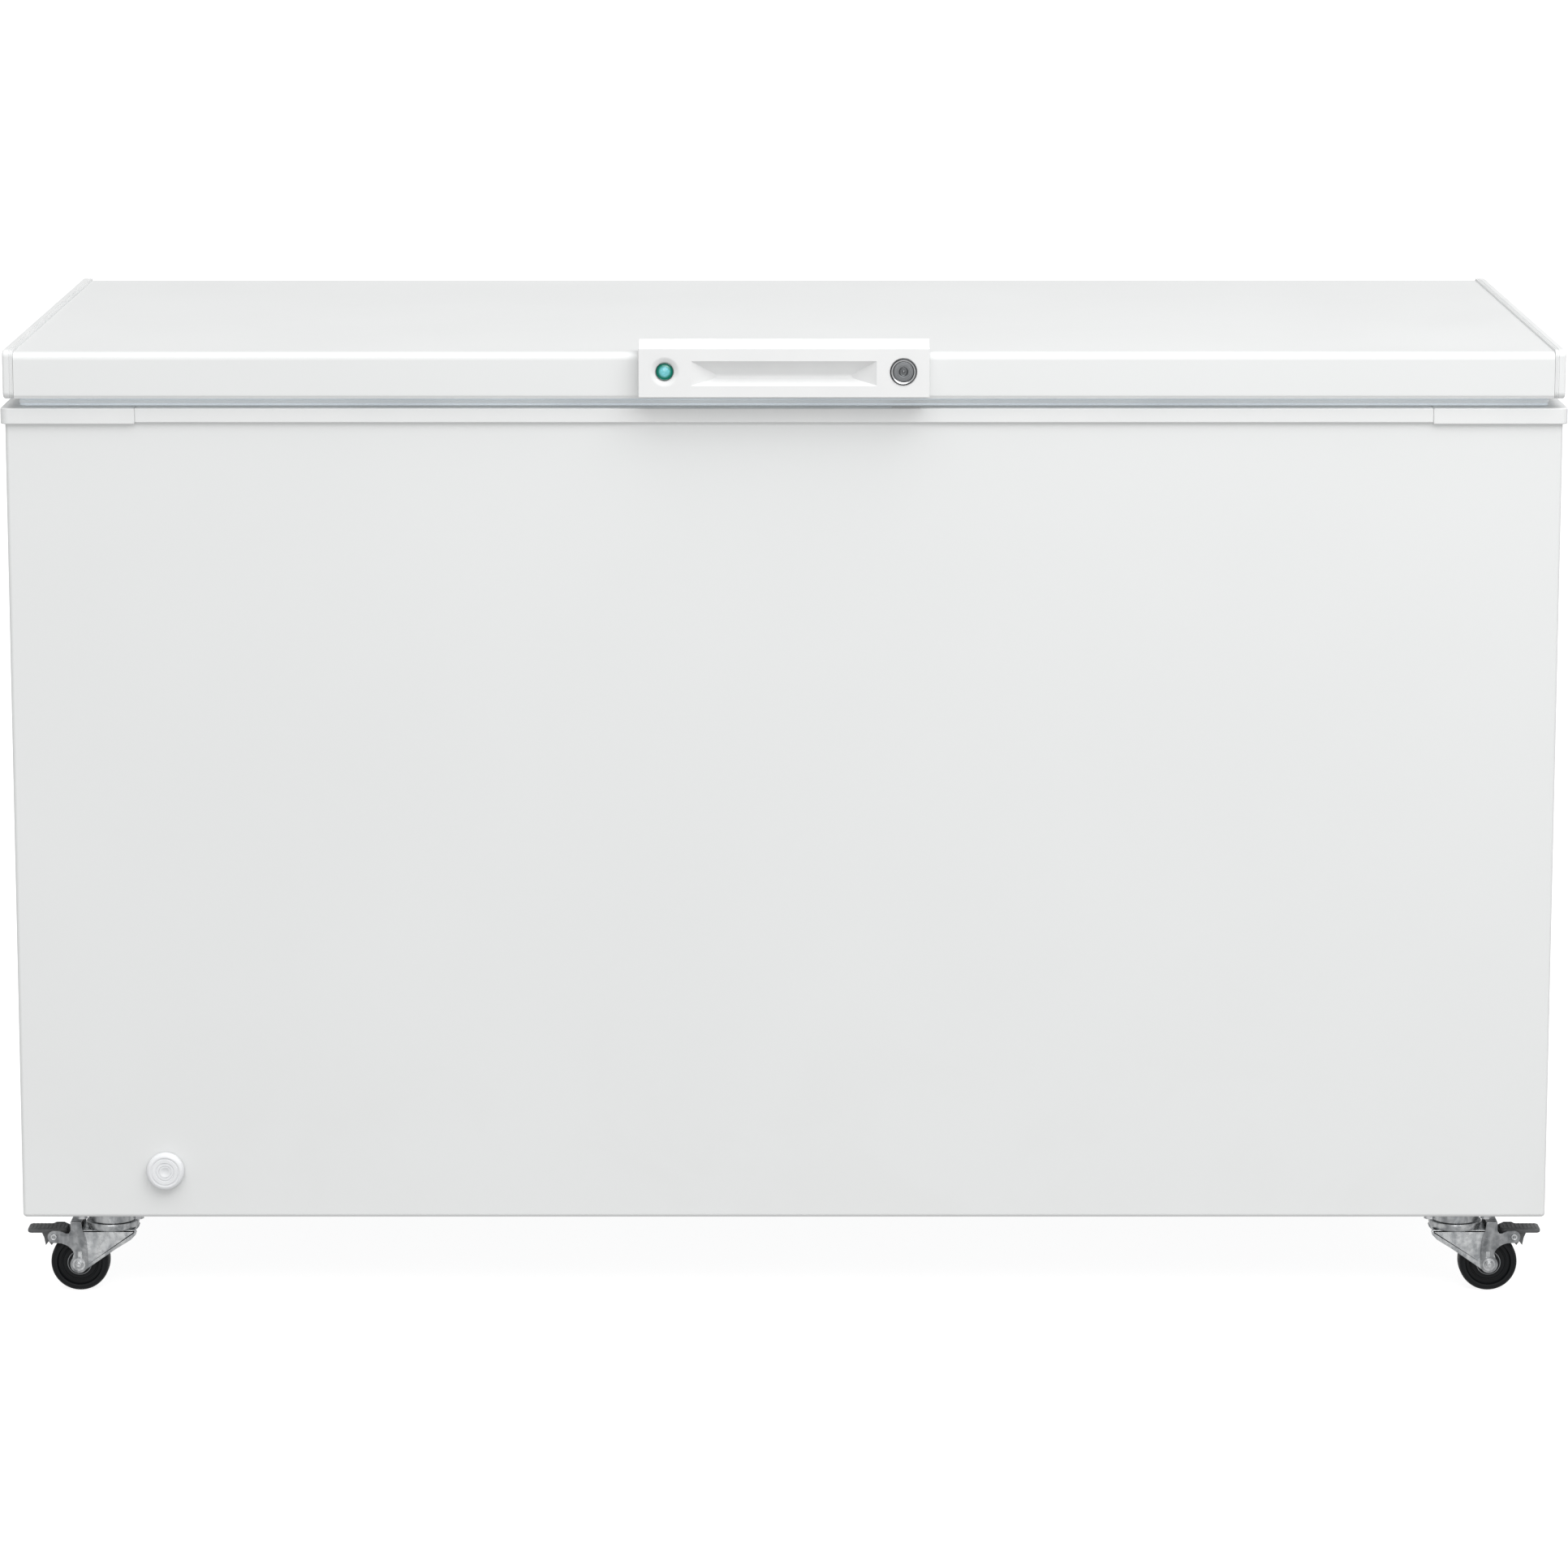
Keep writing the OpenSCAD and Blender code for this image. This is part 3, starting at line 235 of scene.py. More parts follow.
# %% [markdown]
# ## White paint, baked on steel
# The cabinet and the lid are pre-painted steel. Such paint is close to perfect, and what gives it
# away is orange peel: shallow dimples about a millimetre across that make reflections tremble.
# Lower down, in patches, the paint is made a very little darker and its gloss duller.


# %% Painted sheet
def darker_low_down(start, shader, look):
    height = start.add("SeparateXYZ", sockets={"Vector": look["place"]}, out=2)
    # Towards the bottom, in noise patches, the paint is a very little darker and its gloss duller.
    low_patches = (1 - height.between(0.08, 0.42)) * look["smudge"].between(0.42, 0.62)
    look["colour"] = (low_patches * 0.06).tint(look["colour"], rgb(0.58, 0.57, 0.55))
    look["rough"] = look["rough"] + low_patches * 0.05


finish("white_paint", rgb(0.742, 0.752, 0.75), rgb(0.752, 0.762, 0.76), (0.30, 0.34),
       grain=1.6, relief=0.003, blotch=420, extra=darker_low_down)
finish("back_paint", rgb(0.60, 0.61, 0.62), rgb(0.625, 0.635, 0.64), (0.38, 0.48),
       grain=1.2, relief=0.02, blotch=120)
print("paints:", sorted(finishes))

# %% [markdown]
# ## Moulded plastics
# The rim trim, handle, end caps, grille and knob are injection moulded. Their moulds are spark
# eroded, so the surface has a soft grain and no orange peel. The drain plug is a softer plastic,
# a little bluer and more matt. The gasket is pale, and a weak glow is painted into it: painted
# light that keeps its shaded gap under the lid from going dark.


# %% Plastics
def painted_glow(start, shader, look):
    # Painted light: a weak glow makes the gasket's shaded gap under the lid look lit.
    glows(shader, look, 0.15)


for slot, dark, light, rough, grain, relief, blotch in (
        ("trim", (0.755, 0.765, 0.765), (0.775, 0.782, 0.78), (0.30, 0.40), 0.5, 0.006, 90),
        ("handle", (0.765, 0.77, 0.77), (0.785, 0.79, 0.788), (0.28, 0.36), 0.6, 0.006, 70),
        ("drain", (0.74, 0.75, 0.765), (0.79, 0.80, 0.81), (0.32, 0.44), 0.5, 0.008, 25),
        ("grille", (0.74, 0.745, 0.74), (0.79, 0.795, 0.79), (0.34, 0.46), 0.5, 0.01, 50),
        ("control", (0.76, 0.765, 0.76), (0.80, 0.805, 0.80), (0.30, 0.42), 0.5, 0.01, 40),
        ("knob", (0.10, 0.11, 0.12), (0.14, 0.15, 0.16), (0.34, 0.46), 0.5, 0.015, 20),
        ("stopper", (0.16, 0.165, 0.17), (0.21, 0.215, 0.22), (0.55, 0.68), 0.7, 0.02, 20),
        ("gland", (0.018, 0.018, 0.02), (0.03, 0.03, 0.032), (0.45, 0.6), 0.6, 0.015, 20),
        ("relay", (0.02, 0.02, 0.022), (0.035, 0.035, 0.036), (0.35, 0.5), 0.5, 0.015, 25),
        ("pedal", (0.10, 0.103, 0.106), (0.145, 0.148, 0.15), (0.45, 0.6), 0.6, 0.03, 14),
        ("grommet", (0.02, 0.02, 0.02), (0.035, 0.035, 0.035), (0.6, 0.75), 0.8, 0.03, 14)):
    finish(slot, rgb(*dark), rgb(*light), rough, grain, relief, blotch)
finish("gasket", rgb(0.78, 0.82, 0.85), rgb(0.84, 0.88, 0.905), (0.42, 0.55),
       grain=0.8, relief=0.002, blotch=160, extra=painted_glow)
finish("wire", rgb(0.74, 0.75, 0.75), rgb(0.80, 0.805, 0.80), (0.30, 0.42),
       grain=0.9, relief=0.03, blotch=30, coat=0.3)
print("finishes so far:", len(finishes))

# %% [markdown]
# ## Stucco on the inside walls
# The liner is thin aluminium, rolled between embossed cylinders so that it doesn't dent or glare.
# The pattern is worms of relief about four millimetres wide. Cells of a Voronoi texture, bent by a
# noise, give that shape; the distance to each cell's edge is the height.


# %% Embossed liner
def stucco(start, shader, look):
    bent = start.add("VectorMath", {"operation": "MULTIPLY_ADD"}, {
        0: start.add("TexNoise", sockets={"Vector": look["place"], "Scale": 160.0}, out=1),
        1: (0.006, 0.006, 0.006), 2: look["place"]})
    cells = start.add("TexVoronoi", {"feature": "DISTANCE_TO_EDGE"},
                      {"Vector": bent, "Scale": 230.0})
    look["height"] = look["height"] + cells.between(0.0, 0.35) * (0.12 * MM)


finish("liner", rgb(0.745, 0.755, 0.758), rgb(0.765, 0.775, 0.776), (0.34, 0.39),
       grain=1.0, relief=0.01, blotch=160, extra=stucco)
finish("foam", rgb(0.62, 0.50, 0.27), rgb(0.72, 0.60, 0.36), (0.8, 0.95),
       grain=2.5, relief=0.25, blotch=30)

# %% [markdown]
# ## Zinc plate and other metals
# The casters are stamped from steel and zinc plated. Plating is bright but cloudy: soft streaks
# a few millimetres wide run the way the sheet was drawn, and stamping leaves shallow dents. The
# clouds steer roughness and tone together. Copper pipe browns where it was soldered, and the
# spring and hinge steel are darker and oiled.


# %% Metals
def clouded(dark, light):
    def clouds(start, shader, look):
        drawn = start.add("VectorMath", {"operation": "MULTIPLY"},
                          {0: look["place"], 1: (1.0, 1.0, 0.3)})
        streak = start.add("TexNoise", sockets={"Vector": drawn, "Scale": 120.0, "Detail": 2.0})
        cloud = streak.between(0.32, 0.68) * 0.7 + look["smudge"].between(0.35, 0.65) * 0.3
        look["colour"] = cloud.tint(dark, light)
        look["rough"] = cloud * -0.16 + look["rough"]
        look["height"] = look["height"] + look["slow"] * (0.35 * MM) + streak * (0.25 * MM)

    return clouds


def pitted(start, shader, look):
    spots = look["fine"].between(0.66, 0.74) * look["smudge"].between(0.5, 0.6)
    look["rough"] = look["rough"] + spots * 0.25
    look["height"] = look["height"] - spots * (0.02 * MM)


for slot, dark, light, blotch in (
        ("zinc", rgb(0.33, 0.345, 0.36), rgb(0.78, 0.795, 0.80), 14),
        ("darker_zinc", rgb(0.17, 0.178, 0.185), rgb(0.46, 0.47, 0.48), 16),
        ("bolt", rgb(0.34, 0.35, 0.36), rgb(0.80, 0.81, 0.82), 8),
        ("base_steel", rgb(0.36, 0.375, 0.39), rgb(0.70, 0.71, 0.72), 60)):
    finish(slot, dark, light, (0.34, 0.48), grain=0.8, relief=0.012, blotch=blotch, metallic=1.0,
           extra=clouded(dark, light))
for slot, dark, light, rough, grain, relief, blotch, metallic in (
        ("hinge_steel", (0.46, 0.47, 0.48), (0.60, 0.61, 0.62), (0.3, 0.42), 0.7, 0.015, 20, 1.0),
        ("spring_steel", (0.22, 0.225, 0.23), (0.32, 0.325, 0.33), (0.28, 0.4), 0.5, 0.01, 12, 1.0),
        ("copper", (0.45, 0.20, 0.10), (0.78, 0.42, 0.25), (0.25, 0.45), 0.9, 0.01, 35, 1.0),
        ("black_shell", (0.012, 0.012, 0.013), (0.02, 0.02, 0.021), (0.22, 0.36), 1.6, 0.03, 60,
         0.0)):
    finish(slot, rgb(*dark), rgb(*light), rough, grain, relief, blotch, metallic, extra=pitted)
print("finishes so far:", len(finishes))

# %% [markdown]
# ## Rubber wheels
# The wheels are near black with a dull tread. Where the tread meets the floor it is scuffed
# lighter, and a thin grey bearing ring shows round the hub. Distance from the axle tells the
# shader where it is on the wheel, so the rings need no image. Each wheel gets its own centre.


# %% Wheel rings
def wheel_finish(name):
    axle = mid_of(name)

    def rings(start, shader, look):
        away = off_axis(start, look["place"], axle)
        hub = away.between(0.0116, 0.0119) * (1 - away.between(0.0124, 0.0127))
        scuff = away.between(0.0285, 0.0298) * look["smudge"].between(0.4, 0.62)
        rubber = (scuff * 0.35).tint(rgb(0.006, 0.007, 0.008), rgb(0.07, 0.07, 0.07))
        look["colour"] = (hub * 0.8).tint(rubber, rgb(0.30, 0.31, 0.32))
        look["rough"] = look["rough"] + scuff * 0.2
        shader.inputs["Specular IOR Level"].default_value = 0.22

    finish(name, rgb(0.012, 0.013, 0.014), rgb(0.02, 0.021, 0.022), (0.36, 0.50),
           grain=0.7, relief=0.02, blotch=16, extra=rings)


# %% [markdown]
# ## Lock and lamp
# The lock's face is turned on a lathe, so its scratches are circles round its middle. Distance
# from the axis, fed to a one-dimensional noise, gives rings at random widths. The lamp's lens is
# clear green over a lit core: bright and bluish in the middle, deep green at its rim. The glow
# feeds Emission Color, and its strength is one constant.

# %% Turned metal and the lit lens
lock_mid, light_mid = mid_of("lock_housing"), mid_of("power_light")


def lathe_rings(start, shader, look):
    away = off_axis(start, look["place"], lock_mid)
    ring = start.add("TexNoise", {"noise_dimensions": "1D"}, {"W": away, "Scale": 2600.0,
                                                               "Detail": 2.0})
    look["colour"] = ring.between(0.25, 0.75).tint(rgb(0.11, 0.114, 0.118), rgb(0.30, 0.31, 0.32))
    look["height"] = look["height"] + ring * (0.03 * MM)
    look["rough"] = look["rough"] + ring * 0.1


def painted_shadow_gap(start, shader, look):
    # Painted shade: the ring's outer edge is coloured near black for the shadow in the gap round
    # the lock.
    away = off_axis(start, look["place"], lock_mid)
    look["colour"] = away.between(0.0119, 0.0122).tint(look["colour"], rgb(0.05, 0.052, 0.055))


def lit_core(start, shader, look):
    away = off_axis(start, look["place"], light_mid)
    rim = away.between(0.0038, 0.0064)
    facets = start.add("TexVoronoi", {"feature": "F1"},
                       {"Vector": look["place"], "Scale": 420.0}).between(0.0, 0.8)
    core = (rim + facets * 0.35 * (1 - rim)).tint(rgb(0.14, 0.44, 0.50), rgb(0.0, 0.13, 0.09))
    look["colour"] = away.between(0.0070, 0.0086).tint(core, rgb(0.0, 0.03, 0.022))
    glows(shader, look, 0.55)


finish("lock_ring", rgb(0.60, 0.61, 0.62), rgb(0.76, 0.77, 0.78), (0.16, 0.26), grain=0.6,
       relief=0.004, blotch=6, metallic=1.0, extra=painted_shadow_gap)
finish("lock_core", rgb(0.2, 0.2, 0.2), rgb(0.4, 0.4, 0.4), (0.30, 0.40), grain=0.4,
       relief=0.004, blotch=6, metallic=1.0, extra=lathe_rings)
finish("green_lens", rgb(0, 0.2, 0.1), rgb(0, 0.3, 0.2), (0.08, 0.16), grain=0.8, relief=0.004,
       blotch=6, coat=0.6, extra=lit_core)
print("finishes:", ", ".join(sorted(finishes)))

# %% [markdown]
# ## Every engineered part gets its finish
# The record says which material slot each part has, so one loop dresses them all. Wheels are the
# exception: each has rings round its own axle.

# %% Dress the frame
wheel_nodes = [n for n in frame["nodes"] if n.startswith("wheel_")]
for node in wheel_nodes:
    wheel_finish(node)
slot_of = {part["node"]: part["material_slot"] for part in frame["record"]["subparts"]}
for node, thing in frame["nodes"].items():
    thing.data.materials.clear()
    thing.data.materials.append(finishes[node if node in wheel_nodes else slot_of[node]])
print("dressed", len(slot_of), "parts")

# %% [markdown]
# ## A small kit for shaping
# Four moves make nearly everything here. A *bar* is a block with eased edges. A *plate* is an
# outline given a thickness, as a press cuts it. A *turned* piece is a profile spun round an axis,
# as on a lathe. A *loft* joins closed rings in order, which suits anything with the same section
# all the way round. Bmesh's bevel defaults differ from the editor's, so one helper sets them all.


# %% Bars, plates, turnings and lofts
def eased(bm, edges, width, segments=3):
    bmesh.ops.bevel(bm, geom=list(edges), offset=width, offset_type="OFFSET", segments=segments,
                    profile=0.5, affect="EDGES", clamp_overlap=True, material=-1)
    return bm


def creases(bm, angle=30.0):
    return [e for e in bm.edges
            if e.is_manifold and e.calc_face_angle(0.0) > math.radians(angle)]


def outward(bm):
    bmesh.ops.remove_doubles(bm, verts=bm.verts, dist=1e-4)
    bmesh.ops.recalc_face_normals(bm, faces=bm.faces)
    return bm


def bar(x, y, z, edge=0.0, segments=2):
    """A block between two values on each axis, in millimetres."""
    bm = bmesh.new()
    bmesh.ops.create_cube(bm, size=1)
    bmesh.ops.scale(bm, vec=[high - low for low, high in (x, y, z)], verts=bm.verts)
    bmesh.ops.translate(bm, vec=[(low + high) / 2 for low, high in (x, y, z)], verts=bm.verts)
    return eased(bm, bm.edges[:], edge, segments) if edge else bm


def plate(outline, y0, y1, edge=0.0, segments=2):
    """An (x, z) outline, cut from sheet that reaches from y0 to y1."""
    bm = bmesh.new()
    face = bm.faces.new([bm.verts.new((x, y0, z)) for x, z in outline])
    back = moved_verts(bmesh.ops.extrude_face_region(bm, geom=[face]))
    bmesh.ops.translate(bm, vec=(0, y1 - y0, 0), verts=back)
    outward(bm)
    return eased(bm, creases(bm), edge, segments) if edge else bm


def turned(profile, steps=48, closed=False):
    """A profile of (radius, height) points spun round Z."""
    bm = bmesh.new()
    points = [bm.verts.new((radius, 0, height)) for radius, height in profile]
    pairs = list(zip(points, points[1:])) + ([(points[-1], points[0])] if closed else [])
    edges = [bm.edges.new(pair) for pair in pairs]
    bmesh.ops.spin(bm, geom=points + edges, cent=(0, 0, 0), axis=(0, 0, 1), dvec=(0, 0, 0),
                   angle=math.tau, steps=steps, use_merge=True, use_duplicate=False)
    return outward(bm)


def loft(rings, closed=False, capped=False):
    """Closed rings of points, joined one to the next."""
    bm = bmesh.new()
    loops = []
    for ring in rings:
        verts = [bm.verts.new(point) for point in ring]
        loops.append([bm.edges.new(pair) for pair in zip(verts, verts[1:] + verts[:1])])
    for one, two in zip(loops, loops[1:] + (loops[:1] if closed else [])):
        bmesh.ops.bridge_loops(bm, edges=one + two)
    if capped:
        for loop in (loops[0], loops[-1]):
            bmesh.ops.contextual_create(bm, geom=loop)
    return outward(bm)


def linked(name, data):
    thing = bpy.data.objects.new(name, data)
    bpy.context.scene.collection.objects.link(thing)
    return thing


def mesh_from(bm, name):
    mesh = bpy.data.meshes.new(name)
    bm.to_mesh(mesh)
    bm.free()
    return mesh


def joined(*parts):
    whole = bmesh.new()
    for part in parts:
        mesh = mesh_from(part, "part")
        whole.from_mesh(mesh)
        bpy.data.meshes.remove(mesh)
    return whole


def placed(part, matrix):
    bmesh.ops.transform(part, matrix=matrix, verts=part.verts)
    if matrix.determinant() < 0:
        bmesh.ops.reverse_faces(part, faces=part.faces)
    return part


def arc(cx, cy, r, a0, a1, steps=8):
    """Points on an arc, by angles in degrees."""
    angles = [math.radians(a0 + (a1 - a0) * i / steps) for i in range(steps + 1)]
    return [(cx + r * math.cos(a), cy + r * math.sin(a)) for a in angles]


def rounded(x, y, r, steps=6):
    """A rounded rectangle's points."""
    corners = ((x[1] - r, y[1] - r, 0), (x[0] + r, y[1] - r, 90),
               (x[0] + r, y[0] + r, 180), (x[1] - r, y[0] + r, 270))
    return [p for cx, cy, a in corners for p in arc(cx, cy, r, a, a + 90, steps)]


def facing(part, x, y, z):
    """Stands a turned piece at a point, with its axis out towards the viewer."""
    return placed(part, Matrix.Translation((x, y, z)) @ Matrix.Rotation(math.pi / 2, 4, "X"))


def drill(radius, near, far, steps=48):
    return turned([(0, near), (radius, near), (radius, far), (0, far)], steps)


def moved_verts(result):
    return [v for v in result["geom"] if isinstance(v, bmesh.types.BMVert)]


LAID_FLAT = Matrix(((1, 0, 0, 0), (0, 0, 1, 0), (0, 1, 0, 0), (0, 0, 0, 1)))
ALONG_X = Matrix(((0, 1, 0, 0), (1, 0, 0, 0), (0, 0, 1, 0), (0, 0, 0, 1)))
print("shaping kit ready")

# %% [markdown]
# ## From a bmesh to a finished piece
# `finished` turns millimetres into metres, gives the piece its finish, marks which edges are sharp
# by their angle, tells the frame which body it moves with, and hides the engineered parts it stands
# for; `remade` looks up that part's body and slot. Weighted normals keep wide flat faces flat right
# up to their eased edges. `softened` is for a part that is already the right shape: a merged copy
# of it, with a bevel. `carved` cuts closed shapes out of another.


# %% Finishing, softening and carving
def finished(name, bm, body, slot, stands_for=(), sharp=32.0, edge=0.0, segments=2, look=None):
    bmesh.ops.scale(bm, vec=(MM, MM, MM), verts=bm.verts)
    mesh = mesh_from(bm, name)
    mesh.shade_smooth()
    mesh.set_sharp_from_angle(angle=math.radians(sharp))
    mesh.materials.append(look or finishes[slot])
    piece = linked(name, mesh)
    if edge:
        bevel = piece.modifiers.new("eased edges", "BEVEL")
        bevel.width, bevel.segments = edge * MM, segments
        bevel.limit_method, bevel.angle_limit = "ANGLE", math.radians(30)
    normals = piece.modifiers.new("flat faces", "WEIGHTED_NORMAL")
    normals.keep_sharp = True
    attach(piece, body)
    if stands_for:
        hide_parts(*stands_for)
    return piece


def body_with(node):
    return frame["nodes"][node]["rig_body"]


def remade(node, name, bm, **more):
    """A piece that stands for one engineered part, with that part's body and slot."""
    return finished(name, bm, body_with(node), slot_of[node], [node], **more)


def softened(node, edge, segments=2):
    bm = bmesh.new()
    bm.from_mesh(frame["nodes"][node].data)
    bmesh.ops.scale(bm, vec=(1 / MM, 1 / MM, 1 / MM), verts=bm.verts)
    bmesh.ops.remove_doubles(bm, verts=bm.verts, dist=0.01)
    bmesh.ops.dissolve_limit(bm, angle_limit=math.radians(0.8), verts=bm.verts, edges=bm.edges)
    return remade(node, node + "_finished", bm, edge=edge, segments=segments)


def shape_of(thing):
    """What a piece looks like once its modifiers or its bevel are worked out."""
    graph = bpy.context.evaluated_depsgraph_get()
    result = bmesh.new()
    result.from_mesh(thing.evaluated_get(graph).to_mesh())
    return result


def carved(solid, *cutters):
    blank, *tools = [linked("carving", mesh_from(bm, "carving")) for bm in (solid, *cutters)]
    for tool in tools:
        cut = blank.modifiers.new("cut", "BOOLEAN")
        cut.object, cut.operation, cut.solver = tool, "DIFFERENCE", "EXACT"
    result = shape_of(blank)
    for thing in (blank, *tools):
        bpy.data.objects.remove(thing)
    return result


def rods(paths, radius, sides=2):
    """Round wire along each path of points, in millimetres."""
    data = bpy.data.curves.new("wire", "CURVE")
    data.dimensions, data.bevel_depth, data.bevel_resolution = "3D", radius, sides
    data.use_fill_caps = True
    for points, cyclic in paths:
        spline = data.splines.new("POLY")
        spline.points.add(len(points) - 1)
        for point, place in zip(spline.points, points):
            point.co = (*place, 1)
        spline.use_cyclic_u = cyclic
    thing = linked("wire", data)
    result = shape_of(thing)
    bpy.data.objects.remove(thing)
    return outward(result)


def bent(points, r, steps=4, cyclic=False):
    """The same path with each corner rounded, as in a wire bender."""
    points = [Vector(p) for p in points]
    out = []
    for i, here in enumerate(points):
        if not cyclic and i in (0, len(points) - 1):
            out.append(here)
            continue
        before, after = points[i - 1], points[(i + 1) % len(points)]
        a = here + (before - here).normalized() * r
        b = here + (after - here).normalized() * r
        for k in range(steps + 1):
            t = k / steps
            out.append(a * (1 - t) ** 2 + here * 2 * t * (1 - t) + b * t * t)
    return out, cyclic


print("finishing kit ready")

# %% [markdown]
# ## The cabinet's skin
# The outside of the cabinet is one sheet folded round three sides. Its upright front edges and its
# lower edges are rolled, and under the floor it ends in a short flange. A bevel on a box makes the
# rolls, an inset makes the flange, and bmesh's solidify turns the shell into sheet. The holes for
# the drain and the vent are carved after that, so that their rims show the thickness.

# %% Cabinet skin and base
skin_low, skin_high = span("cabinet_wrapper")
drain_mid = mid_of("drain_plug")
vent_low, vent_high = span("vent_grille")
ROLL, FLANGE, SHEET = 4.0, 18.0, 1.0
VENT_LAP, BASE_GAP = 10.3, 3.5
LOW_EDGE, BIG_FACE = 100, 1e5

skin = bar(*zip(skin_low, skin_high))
rolled = [e for e in skin.edges
          if (all(v.co.y < 0 for v in e.verts) and abs(e.verts[0].co.z - e.verts[1].co.z) > 1)
          or (all(v.co.z < LOW_EDGE for v in e.verts) and not all(v.co.y > 0 for v in e.verts))]
eased(skin, rolled, ROLL, 6)
skin.faces.ensure_lookup_table()
under = min(skin.faces, key=lambda f: f.calc_center_median().z)
bmesh.ops.inset_region(skin, faces=[under], thickness=FLANGE, use_even_offset=True)
open_faces = [f for f in skin.faces if f.calc_area() > BIG_FACE
              and max(abs(f.normal.z), f.normal.y) > 0.9]
bmesh.ops.delete(skin, geom=open_faces, context="FACES")
bmesh.ops.solidify(skin, geom=skin.faces[:], thickness=SHEET)
bore = facing(drill(12, -30, 30), drain_mid.x, skin_low.y, drain_mid.z)
window = bar(around(skin_high.x, 20), within(vent_low.y, vent_high.y, VENT_LAP),
             within(vent_low.z, vent_high.z, VENT_LAP))
remade("cabinet_wrapper", "cabinet_skin", carved(skin, bore, window))
base_low, base_high = span("cabinet_base")
remade("cabinet_base", "base_plate",
       bar(within(base_low.x, base_high.x, BASE_GAP), (base_low.y + BASE_GAP, base_high.y),
           (base_low.z + 0.3, base_high.z), 0.8))
print("skin from", [round(v) for v in skin_low], "to", [round(v) for v in skin_high])

# %% [markdown]
# ## The step's side sheet
# The engineered liner leaves the upright side of the compressor's step as bare foam. One bent
# sheet closes it: it stands on the floor sheet, lies against the foam and folds over at the top,
# where it meets the step's own top sheet.

# %% Step side
liner_low, liner_high = span("inner_liner")
LINER_SHEET, STEP_X = 1.5, 450.0
step_top = max(v.co.z / MM for v in frame["nodes"]["inner_liner"].data.vertices
               if abs(v.co.x / MM - STEP_X) < 0.1)
step_floor = liner_low.z + LINER_SHEET
foam_x, fold_x = STEP_X - LINER_SHEET, STEP_X - 2 * LINER_SHEET
fold = [(fold_x, step_floor), (foam_x, step_floor), (foam_x, step_top - LINER_SHEET),
        (STEP_X, step_top - LINER_SHEET), (STEP_X, step_top), (fold_x, step_top)]
finished("liner_step_side", plate(fold, *within(liner_low.y, liner_high.y, LINER_SHEET)),
         "cabinet", "liner")
print("step side from", round(step_floor, 1), "to", round(step_top, 1))

# %% [markdown]
# ## The lid's sheet
# The lid is a shallow tray, pressed the other way up. Its section is six points: two turned-in
# hems, two skirts and the flat top. Sweeping it along X and rounding the four long folds gives the
# soft edge that catches the light along the whole front.

# %% Lid panel
lid_low, lid_high = span("lid_panel")
HEM, TOP_FOLD, LOW_FOLD = 12.0, 8.0, 4.5
section = [(lid_low.y + HEM, lid_low.z), (lid_low.y, lid_low.z), (lid_low.y, lid_high.z),
           (lid_high.y, lid_high.z), (lid_high.y, lid_low.z), (lid_high.y - HEM, lid_low.z)]
lid = bmesh.new()
corners = [lid.verts.new((lid_low.x, y, z)) for y, z in section]
strip = [lid.edges.new(pair) for pair in zip(corners, corners[1:])]
far_end = moved_verts(bmesh.ops.extrude_edge_only(lid, edges=strip))
bmesh.ops.translate(lid, vec=(lid_high.x - lid_low.x, 0, 0), verts=far_end)
folds = [e for e in lid.edges if e.is_manifold]
eased(lid, [e for e in folds if e.verts[0].co.z > lid_low.z + 1], TOP_FOLD, 10)
eased(lid, [e for e in lid.edges if e.is_manifold and e.calc_face_angle(0.0) > 1.0
            and all(v.co.z < lid_low.z + 1 for v in e.verts)], LOW_FOLD, 6)
outward(lid)
top = max(lid.faces, key=lambda f: f.calc_area())
if top.normal.z < 0:
    bmesh.ops.reverse_faces(lid, faces=lid.faces)
bmesh.ops.solidify(lid, geom=lid.faces[:], thickness=SHEET)
remade("lid_panel", "lid_sheet", lid)
print("lid sheet", round(lid_high.x - lid_low.x), "x", round(lid_high.y - lid_low.y))

# %% [markdown]
# ## End caps
# A moulded cap closes each end of the lid. It stands a little above the sheet, its outer edge is
# rounded, and two thin ribs run all the way round beside the sheet. The same outline is drawn at
# each station across the cap, a little smaller in the grooves, and the loft joins them.


# %% Lid end caps
CAP_R = 7.0


def lid_ring(x, inset, low, high):
    ring = rounded(within(low.y, high.y, inset), within(low.z, high.z, inset), CAP_R - inset, 8)
    return [(x, y, z) for y, z in ring]


CAP_STATIONS = ((0.0, 2.6), (0.25, 1.5), (1.0, 0.5), (2.2, 0.0), (6.6, 0.0), (6.9, 0.7),
                (7.4, 0.7), (7.7, 0.0), (8.7, 0.0), (9.0, 0.7), (9.4, 0.7), (9.7, 0.1),
                (10.5, 0.1), (10.9, 0.9))
for side, node in ((-1, "lid_cap_left"), (1, "lid_cap_right")):
    low, high = span(node)
    outer = low.x if side < 0 else high.x
    cap = loft([lid_ring(outer - side * across, inset, low, high)
                for across, inset in CAP_STATIONS], capped=True)
    remade(node, node + "_ribbed", cap, sharp=50)
    print(node, "from", round(low.x, 1), "to", round(high.x, 1))

# %% [markdown]
# ## Gasket
# The seal is one soft extrusion mitred and welded into a ring: an anchor under the lid, a bellows
# that gives, and a flat pocket that holds the magnet. The section is a list of (inset, height)
# pairs; each is a rounded rectangle, and lofting them in a closed loop makes the whole ring.

